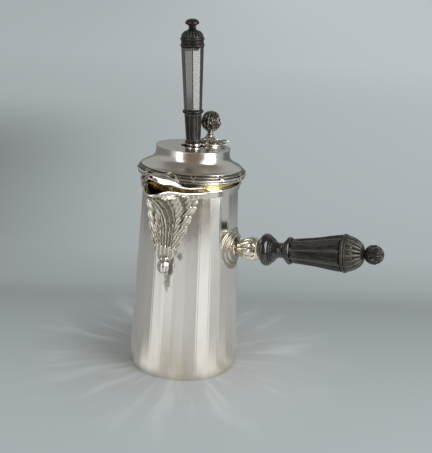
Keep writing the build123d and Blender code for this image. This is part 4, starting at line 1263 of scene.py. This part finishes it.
def moulding_curls():
    """The volutes in which the moulding ends over the hood, one each side."""
    pieces = []
    for side in (-1, 1):
        angle = math.radians(-90 + side * (MOULDING_END + 1.5))
        out = np.array((math.cos(angle), math.sin(angle), 0))
        along = np.array((-math.sin(angle), math.cos(angle), 0)) * side
        turns = np.linspace(-0.25 * TURN, 1.3 * TURN, 44)
        size = np.linspace(2.4, 0.6, 44)
        points = [
            out * (48.0 + 0.04 * k) - along * (r * math.cos(t)) + np.array((
                0, 0, 187.6 + r * math.sin(t),
            ))
            for k, (t, r) in enumerate(zip(turns, size))
        ]
        pieces.append(wire("volute", LID, points, np.linspace(1.25, 0.7, 44), 10))
    return finished("moulding_curls", joined("curls", *pieces), "lid", silver_reeded, (), 50)


def bezel():
    """The gilt bezel that goes down inside the rim."""
    outline = [(41.3, 173.6), (42.0, 173.6), (42.2, 173.9), (42.2, 180.0), (42.2, 185.5), (41.3, 185.5)]
    mesh = lathe("bezel", LID, outline, 160, round_rows=True)
    return finished("gilt_bezel", mesh, "lid", gilding, ("lid_bezel",))


# ---------------------------------------------------------------------------------------
# The finial that swings off the hole
# ---------------------------------------------------------------------------------------
def rosette():
    """Eight leaves lying round the finial's stem, and a shorter ring of leaves over them."""
    bend = (4.6, 3.2, 1.5, 0.9, 0.5, 0.35)
    leaf = leaf_mesh("rosette_leaf", length=9.4, width=3.9, thick=0.9, bend=bend, ribs=0.35, point=0.8)
    low = repeated("low_leaves", RING_TREE, COVER, leaf, {
        "Count": 8, "First angle": math.radians(22.5), "Step": TURN / 8, "Radius": 2.8,
        "Height": COVER_TOP, "Finish": silver_chased,
    })
    bend = (5.2, 3.6, 2.2, 1.6, 1.5)
    leaf = leaf_mesh("upper_leaf", length=5.4, width=2.3, thick=0.7, bend=bend, ribs=0.3, point=0.8)
    high = repeated("high_leaves", RING_TREE, COVER, leaf, {
        "Count": 8, "First angle": 0.0, "Step": TURN / 8, "Radius": 2.2, "Height": COVER_TOP + 1.3,
        "Finish": silver_chased,
    })
    bore, top = 1.56, COVER_TOP + 6.9
    outline = [(bore, COVER_TOP), (9.0, COVER_TOP)]
    outline += curve(
        (9.0, COVER_TOP + 0.3), (5.8, COVER_TOP + 1.6), (3.6, COVER_TOP + 4.2), (3.1, top), steps=4,
    )
    outline += [(bore, top)]
    core = lathe("rosette_core", COVER, outline, 64, round_rows=True)
    mesh = joined("rosette", low, high, core)
    return finished(
        "finial_rosette", mesh, "swing_finial", silver_chased, ("cover_rosette",), 50,
    )


def thumb_tab():
    """The curled tab by which the finial is pushed aside."""
    start, bearing = 7.8, math.radians(-54)
    out, aside = (math.cos(bearing), math.sin(bearing), 0), (-math.sin(bearing), math.cos(bearing), 0)
    pieces = []
    # the tab's two leaves: rise over the cover, length, half width and bend
    for rise, length, width, bend in (
        (1.6, 9.5, 2.6, (0.4, 0.2, 0.4, 1.4, 1.1, 0.1)),
        (0.7, 9.0, 2.2, (0.2, -0.1, 0.0, -0.3, -0.9, -0.2)),
    ):
        leaf = leaf_mesh("tab", length, width, thick=0.8, bend=bend, ribs=0.3, point=0.6)
        place = COVER @ standing(out, aside, (0, 0, 1), (
            start * out[0], start * out[1], COVER_TOP + rise,
        ))
        leaf.transform(Matrix.Scale(MM, 4) @ place)
        pieces.append(leaf)
    return finished(
        "thumb_tab", joined("tab", *pieces), "swing_finial", silver_chased, ("cover_tab",), 50,
    )


def artichoke():
    """The artichoke finial: a stem, and rows of long pointed leaves wrapped to a bulb."""
    core = [(AXIS, 211.1), (1.5, 211.1), (1.5, 219.1)]
    core += curve(
        (2.9, 219.1), (3.3, 219.7), (2.9, 220.4), (2.4, 220.9), (2.4, 221.8), (3.2, 222.4), (3.0, 223.0),
        (4.4, 223.6), (6.4, 225.2), (7.7, 228.3), (8.0, 231.8), (7.5, 235.4), (5.9, 238.8), (3.6, 241.0),
        (1.4, 242.0), (AXIS, 242.2), steps=5,
    )
    bulb = lathe("bulb", COVER, core, 56)
    scale = scale_mesh("scale", width=0.43, thick=0.10, wrap=0.53, bow=0.45)
    scales = repeated("scales", SCALES_TREE, COVER @ shifted(0, 0, 232.6), scale, {
        "Rows": 5, "In a row": 8, "Radius": 8.0, "Half height": 9.4, "First": 0.50, "Last": 2.25,
        "Size": 8.4, "Crown size": 6.4, "Lift": 0.03, "Finish": silver_dark,
    })
    return finished(
        "artichoke_finial", joined("artichoke", bulb, scales), "swing_finial", silver_dark,
        ("cover_finial",), 50,
    )


# ---------------------------------------------------------------------------------------
# The stirrer
# ---------------------------------------------------------------------------------------
def turned_ebony(piece, name, node, outline, around=96, relief=None, sharp=50):
    """A turned or fluted piece of the stirrer."""
    mesh = lathe(name, STIRRER, outline, around, relief)
    return finished(piece, mesh, "stirrer", ebony_rubbed, (node,), sharp)


def stirrer_knob():
    """The knob, on a stem of two small rings."""
    outline = [(AXIS, 319.2), (2.8, 319.2)]
    outline += curve((3.3, 319.4), (3.5, 319.9), (3.2, 320.5), (2.6, 320.8), steps=4)
    outline += curve((2.7, 320.9), (3.7, 321.3), (3.6, 321.9), steps=4)
    outline += curve(
        (3.4, 322.1), (5.0, 322.5), (6.1, 323.3), (6.2, 324.4), (5.6, 325.7), (4.3, 326.8), (2.2, 327.5),
        (AXIS, 327.7), steps=5,
    )
    return turned_ebony("stirrer_knob_turned", "knob", "stirrer_knob", outline, 64, sharp=38)


def stirrer_dome():
    """The gadrooned dome under the knob."""
    def gadroons(angle, radius, height):
        zone = soft_step(312.4, 313.2, height) * (1 - soft_step(316.8, 317.4, height))
        return (np.abs(np.cos(angle * 10)) ** 0.6 - 0.75) * 0.8 * zone

    outline = [(AXIS, 311.6), (9.8, 311.6)]
    outline += curve(
        (9.9, 312.0), (9.7, 313.0), (9.1, 314.4), (8.0, 315.7), (6.4, 316.9), (5.0, 317.5), (4.6, 318.0),
        (3.6, 318.6), (2.8, 319.2), steps=6,
    )
    outline.append((AXIS, 319.2))
    return turned_ebony("stirrer_dome", "dome", "stirrer_cap", outline, 160, gadroons)


def stirrer_band():
    """The reeded band between the dome and the handle."""
    outline = [(AXIS, HANDLE_TOP), (9.8, HANDLE_TOP)]
    # each reed: foot and top over the handle, radius and how far it stands out
    for low, high, radius, out in (
        (0.0, 2.4, 9.9, 1.0), (2.6, 3.5, 9.8, 0.45), (3.6, 4.5, 9.8, 0.45), (4.6, 5.5, 9.8, 0.45),
        (5.7, 8.0, 9.9, 1.0),
    ):
        outline += bead((radius, HANDLE_TOP + low), (radius, HANDLE_TOP + high), out, 7)
    outline.append((AXIS, HANDLE_TOP + 8.0))
    return turned_ebony("stirrer_band_reeded", "band", "stirrer_band", outline)


def stirrer_collar():
    """The ring that the handle stands on."""
    outline = [(AXIS, 243.9), (7.9, 243.9)]
    outline += curve((8.4, 244.0), (9.3, 244.8), (9.6, 245.8), (9.3, 246.8), (8.5, HANDLE_FOOT), steps=5)
    outline.append((AXIS, HANDLE_FOOT))
    return turned_ebony("stirrer_collar_turned", "collar", "stirrer_collar", outline)


def stirrer_bead():
    """The small ring at the foot of the wood."""
    outline = [(AXIS, 216.4), (7.15, 216.4)]
    outline += curve((7.3, 216.5), (7.75, 217.2), (7.7, 218.1), (6.9, 218.9), (6.7, SHAFT_FOOT), steps=5)
    outline.append((AXIS, SHAFT_FOOT))
    return turned_ebony("stirrer_bead_turned", "drop", "stirrer_bead", outline)


def stirrer_shaft():
    """The tapered shaft below the handle, with shallow flutes."""
    def flutes(angle, radius, height):
        zone = soft_step(219.6, 221.5, height) * (1 - soft_step(241.5, 243.4, height))
        return -0.30 * np.abs(np.sin(angle * 6)) ** 1.5 * zone

    foot_radius, widening, tall = 6.7, 1.2, 24.9
    outline = [(AXIS, SHAFT_FOOT), (foot_radius, SHAFT_FOOT)]
    outline += [(foot_radius + widening * t, SHAFT_FOOT + tall * t) for t in np.linspace(0.02, 1, 26)]
    outline.append((AXIS, SHAFT_FOOT + tall))
    return turned_ebony("stirrer_shaft_fluted", "shaft", "stirrer_shaft", outline, 144, flutes)


def stirrer_handle():
    """The stirrer's eight-sided handle, its corners just rounded."""
    first_corner = math.radians(25.7)

    def sides(angle, radius, height):
        step = TURN / 8
        off = np.mod(angle - first_corner, step) - step / 2
        flat = math.cos(step / 2) / np.cos(off) - 1
        blunt = -0.012 * soft_step(0.90, 1.0, np.abs(off) / (step / 2))
        return radius * (flat + blunt)

    foot_radius, widening, tall = 8.2, 2.0, HANDLE_TOP - HANDLE_FOOT
    outline = [(AXIS, HANDLE_FOOT), (foot_radius, HANDLE_FOOT)]
    outline += [(foot_radius + widening * t, HANDLE_FOOT + tall * t) for t in np.linspace(0.01, 1, 30)]
    outline.append((AXIS, HANDLE_TOP))
    mesh = lathe("handle", STIRRER, outline, 256, sides)
    return finished(
        "stirrer_handle_eight_sided", mesh, "stirrer", ebony_stirrer, ("stirrer_handle",), 40,
    )


# ---------------------------------------------------------------------------------------
# Pieces kept from the frame, with their finishes
# ---------------------------------------------------------------------------------------
KEPT = {
    silver_plain: (
        "base_plate", "rim_band", "rim_wire", "spout", "hinge_leaf_pot", "hinge_pin", "hinge_leaf_lid",
        "handle_pin", "pivot_pin", "stirrer_tube",
    ),
    silver_lid: ("lid_top",), silver_chased: ("cover_plate",), iron: ("handle_rod",),
    stick_wood: ("stirrer_rod", "stirrer_head", "head_pin"),
}


def dress_kept():
    """Gives the frame's own pieces their finishes."""
    for material, names in KEPT.items():
        for name in names:
            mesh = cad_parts[name].data
            mesh.materials.clear()
            mesh.materials.append(material)


for build in (
    pot_wall, acanthus, bud, lip_wire,
    boss, boss_leaf, socket, socket_bead, neck, grip, cap, cone,
    lid_cove, bezel, moulding, moulding_curls, hood,
    rosette, thumb_tab, artichoke,
    stirrer_knob, stirrer_dome, stirrer_band, stirrer_collar, stirrer_bead, stirrer_shaft, stirrer_handle,
    dress_kept,
):
    build()

# ---------------------------------------------------------------------------------------
# Camera, lights and floor
# ---------------------------------------------------------------------------------------
def camera():
    """The camera at the photograph's viewing angle."""
    yaw, pitch, roll = 0.03376, 0.32077, 0.05529    # radians
    side = math.radians(25.714)                     # how far round the pot the photograph was taken
    spot = (0, -0.7575, 0.38855)                    # metres
    ahead = Vector((math.sin(yaw) * math.cos(pitch), math.cos(yaw) * math.cos(pitch), -math.sin(pitch)))
    right = Vector((math.cos(yaw), -math.sin(yaw), 0))
    up = right.cross(ahead)
    tilted_right = math.cos(roll) * right + math.sin(roll) * up
    tilted_up = -math.sin(roll) * right + math.cos(roll) * up
    data = bpy.data.cameras.new("camera")
    data.lens = 67.0
    data.clip_start = 0.01
    thing = bpy.data.objects.new("camera", data)
    scene.collection.objects.link(thing)
    thing.matrix_world = Matrix.Rotation(side, 4, "Z") @ standing(tilted_right, tilted_up, -ahead, spot)
    scene.camera = thing


def softbox(name, azimuth, distance, width, height, bottom, power):
    """A rectangle of soft light standing round the pot, facing its axis."""
    data = bpy.data.lights.new(name, "AREA")
    data.shape = "RECTANGLE"
    data.size = width
    data.size_y = height
    data.energy = power
    thing = bpy.data.objects.new(name, data)
    scene.collection.objects.link(thing)
    bearing = math.radians(azimuth)
    spot = Vector((math.cos(bearing) * distance, math.sin(bearing) * distance, bottom + height / 2))
    aim = Vector((0, 0, 0.12)) - spot
    thing.location = spot
    thing.rotation_euler = aim.to_track_quat("-Z", "Y").to_euler()
    thing.visible_camera = False
    return thing


def lights():
    """A narrow soft light on the left, a broad one on the right and one overhead that metal doesn't see."""
    softbox("left_box", azimuth=-104, distance=0.47, width=0.16, height=0.46, bottom=0.09, power=0.34)
    softbox("right_box", azimuth=-10, distance=0.47, width=0.29, height=0.46, bottom=0.09, power=1.9)
    overhead = softbox(
        "overhead", azimuth=100, distance=0.10, width=1.6, height=1.6, bottom=1.2, power=6.0,
    )
    overhead.visible_glossy = False


# the camera's side of the pot, from +X, the photograph's right and the side beyond the pot
CAMERA_SIDE = math.radians(-64.3)
CAMERA_RIGHT = CAMERA_SIDE + TURN / 4
BEYOND = CAMERA_SIDE + TURN / 2


def towards(tree, parts, bearing):
    """How far a place lies out along a bearing."""
    return times_plus(tree, parts[0], math.cos(bearing), times(tree, parts[1], math.sin(bearing)))


def room_effect():
    """What polished metal sees low in the room: pale ways, dim ones and a warm dark place in front."""
    tree, given, told = effect(
        "room_tone", [("Way", "NodeSocketVector", None), ("Reach", "NodeSocketFloat", 1.0)],
        [("Tone", "NodeSocketColor"), ("Front", "NodeSocketFloat")],
    )
    parts = put(tree, "ShaderNodeSeparateXYZ", None, {0: given.outputs["Way"]}).outputs
    turn = maths(tree, "ARCTAN2", towards(tree, parts, CAMERA_RIGHT), towards(tree, parts, CAMERA_SIDE))
    # degrees from the camera's side, leftwards below nought, and how pale the room is there
    tones = (
        (-180, 0.36), (-123, 0.30), (-92, 0.34), (-76, 0.36), (-64, 0.62), (-52, 0.82), (-42, 0.76),
        (-24, 0.54), (-9, 0.64), (4, 0.50), (18, 0.60), (28, 0.92), (46, 0.84), (57, 0.52), (68, 0.66),
        (80, 0.44), (92, 0.42), (123, 0.42), (148, 0.33), (180, 0.36),
    )
    stops = [(degrees / 360 + 0.5, (tone, tone, tone * 0.99, 1)) for degrees, tone in tones]
    ring = graded(tree, times_plus(tree, turn, 1 / TURN, 0.5), stops)
    front = ramp(tree, maths(tree, "ABSOLUTE", minus(tree, turn, 0.22)), 0.85, 0.50)
    rear = ramp(tree, maths(tree, "ABSOLUTE", turn), 1.65, 2.05)
    left = ramp(tree, turn, -0.95, -1.45)
    reach = given.outputs["Reach"]
    warm_dark, cold_dark, dim_grey = (0.20, 0.155, 0.115, 1), (0.14, 0.15, 0.155, 1), (0.21, 0.21, 0.20, 1)
    tone = mixed(tree, times(tree, front, ramp(tree, reach, 0.52, 0.80)), ring, warm_dark)
    tone = mixed(tree, times(tree, rear, ramp(tree, reach, 0.42, 0.80)), tone, cold_dark)
    tone = mixed(tree, times(tree, left, ramp(tree, reach, 0.42, 0.70)), tone, dim_grey)
    tree.links.new(tone, told.inputs["Tone"])
    tree.links.new(front, told.inputs["Front"])
    return tree


ROOM = room_effect()


def sky():
    """The room: mirrored tones low down, grey above them, dimmer overhead, and even to the camera."""
    world = bpy.data.worlds.new("room")
    scene.world = world
    world.use_nodes = True
    tree = world.node_tree
    tree.nodes.clear()
    way = tree.nodes.new("ShaderNodeTexCoord").outputs["Generated"]
    parts = put(tree, "ShaderNodeSeparateXYZ", None, {0: way}).outputs
    low = put(tree, "ShaderNodeGroup", {"node_tree": ROOM}, {"Way": way, "Reach": 2.0}).outputs
    high = ramp(tree, times_plus(tree, low["Front"], -0.70, parts[2]), 0.06, 0.20)
    grey, ceiling, backdrop = (0.40, 0.41, 0.405, 1), (0.20, 0.185, 0.155, 1), (0.46, 0.505, 0.52, 1)
    light = mixed(tree, high, low["Tone"], grey)
    light = mixed(tree, ramp(tree, parts[2], 0.55, 0.85), light, ceiling)
    seen = tree.nodes.new("ShaderNodeLightPath").outputs["Is Camera Ray"]
    room = put(tree, "ShaderNodeBackground", None, {
        "Color": mixed(tree, seen, light, backdrop), "Strength": 1.0,
    })
    end = tree.nodes.new("ShaderNodeOutputWorld")
    tree.links.new(room.outputs[0], end.inputs["Surface"])


def paper_tone_with_painted_shade(tree, parts):
    """The paper's tone by its distance beyond the pot's axis, with a painted shadow a little way behind the
    pot and painted shade to its left.
    """
    away = towards(tree, parts, BEYOND)
    # metres beyond the axis, and the tone there; the dip around 0.14 metres is a painted shadow behind the
    # pot
    tones = (
        (-0.60, 0.52), (-0.168, 0.485), (-0.085, 0.46), (0.061, 0.37), (0.142, 0.315), (0.195, 0.39),
        (0.311, 0.47), (0.547, 0.49), (0.90, 0.50), (1.48, 0.51), (2.35, 0.56),
    )
    span, start = 3.2, 0.25
    stops = [(where / span + start, (value * 0.91, value, value * 1.03, 1)) for where, value in tones]
    tone = graded(tree, times_plus(tree, away, 1 / span, start), stops)
    aside = towards(tree, parts, CAMERA_RIGHT)
    # painted shade: darker to the left of the pot, most of all from a little way behind it, and a little
    # darker all across towards the left
    painted_dim = times(tree, ramp(tree, aside, -0.02, -0.45), ramp(tree, away, 0.12, 0.35))
    painted_dim = times(tree, painted_dim, ramp(tree, away, 1.5, 0.7))
    painted_dim = times_plus(tree, painted_dim, 0.38, times(tree, ramp(tree, aside, 0.9, -0.9), 0.20))
    return mixed(tree, painted_dim, tone, (0, 0, 0, 1))


def floor():
    """A plain pale paper floor: lit near the pot, with painted light rays there, and even further away;
    glossy rays see it glow with a painted reflection of the room.
    """
    mesh = bpy.data.meshes.new("floor")
    mesh.from_pydata([(-10, -10, 0), (10, -10, 0), (10, 10, 0), (-10, 10, 0)], [], [(0, 1, 2, 3)])
    thing = bpy.data.objects.new("floor", mesh)
    scene.collection.objects.link(thing)
    material = bpy.data.materials.new("floor_paper")
    material.use_nodes = True
    tree = material.node_tree
    tree.nodes.clear()
    place = tree.nodes.new("ShaderNodeTexCoord").outputs["Object"]
    parts = put(tree, "ShaderNodeSeparateXYZ", None, {0: place}).outputs
    reach = put(tree, "ShaderNodeVectorMath", {"operation": "LENGTH"}, {0: place}).outputs["Value"]
    tone = paper_tone_with_painted_shade(tree, parts)
    # painted caustics: soft rays of painted light spreading out from the pot's foot over the paper
    spin = maths(tree, "ARCTAN2", parts[1], parts[0])
    ray_way = put(tree, "ShaderNodeCombineXYZ", None, {
        0: maths(tree, "COSINE", spin), 1: maths(tree, "SINE", spin), 2: times(tree, reach, 2.0),
    })
    rays = noise(tree, ray_way.outputs[0], 6.0, 2.0, 0.5)
    painted_caustic_mask = times(tree, ramp(tree, reach, 0.19, 0.05), ramp(tree, rays, 0.47, 0.76))
    painted_caustic_light, pale, speck = (0.66, 0.69, 0.70, 1), (0.90, 0.92, 0.93, 1), (0.25, 0.26, 0.27, 1)
    tone = mixed(tree, times(tree, painted_caustic_mask, 0.50), tone, painted_caustic_light)
    lit = mixed(tree, 0.28, tone, pale)
    grain = noise(tree, place, 900.0, 3.0, 0.6)
    lit = mixed(tree, times(tree, grain, 0.05), lit, speck)
    paper = put(tree, "ShaderNodeBsdfDiffuse", None, {"Color": lit})
    even = put(tree, "ShaderNodeEmission", None, {"Color": tone, "Strength": 1.0})
    # painted reflection: a few centimetres out from the pot, glossy rays see the floor glow with the room's
    # tones instead of its lit paper
    room = put(tree, "ShaderNodeGroup", {"node_tree": ROOM}, {"Way": place, "Reach": reach}).outputs
    painted_reflection = put(tree, "ShaderNodeEmission", None, {"Color": room["Tone"], "Strength": 1.0})
    rays_kind = tree.nodes.new("ShaderNodeLightPath").outputs
    seen_even = times(tree, rays_kind["Is Camera Ray"], times(tree, ramp(tree, reach, 0.05, 0.18), 0.95))
    seen_painted_reflection = times(tree, rays_kind["Is Glossy Ray"], ramp(tree, reach, 0.050, 0.072))
    seen = put(tree, "ShaderNodeMixShader", None, {0: seen_even, 1: paper.outputs[0], 2: even.outputs[0]})
    whole = put(tree, "ShaderNodeMixShader", None, {
        0: seen_painted_reflection, 1: seen.outputs[0], 2: painted_reflection.outputs[0],
    })
    end = tree.nodes.new("ShaderNodeOutputMaterial")
    tree.links.new(whole.outputs[0], end.inputs["Surface"])
    mesh.materials.append(material)


camera()
lights()
sky()
floor()
scene.view_settings.view_transform = "Standard"
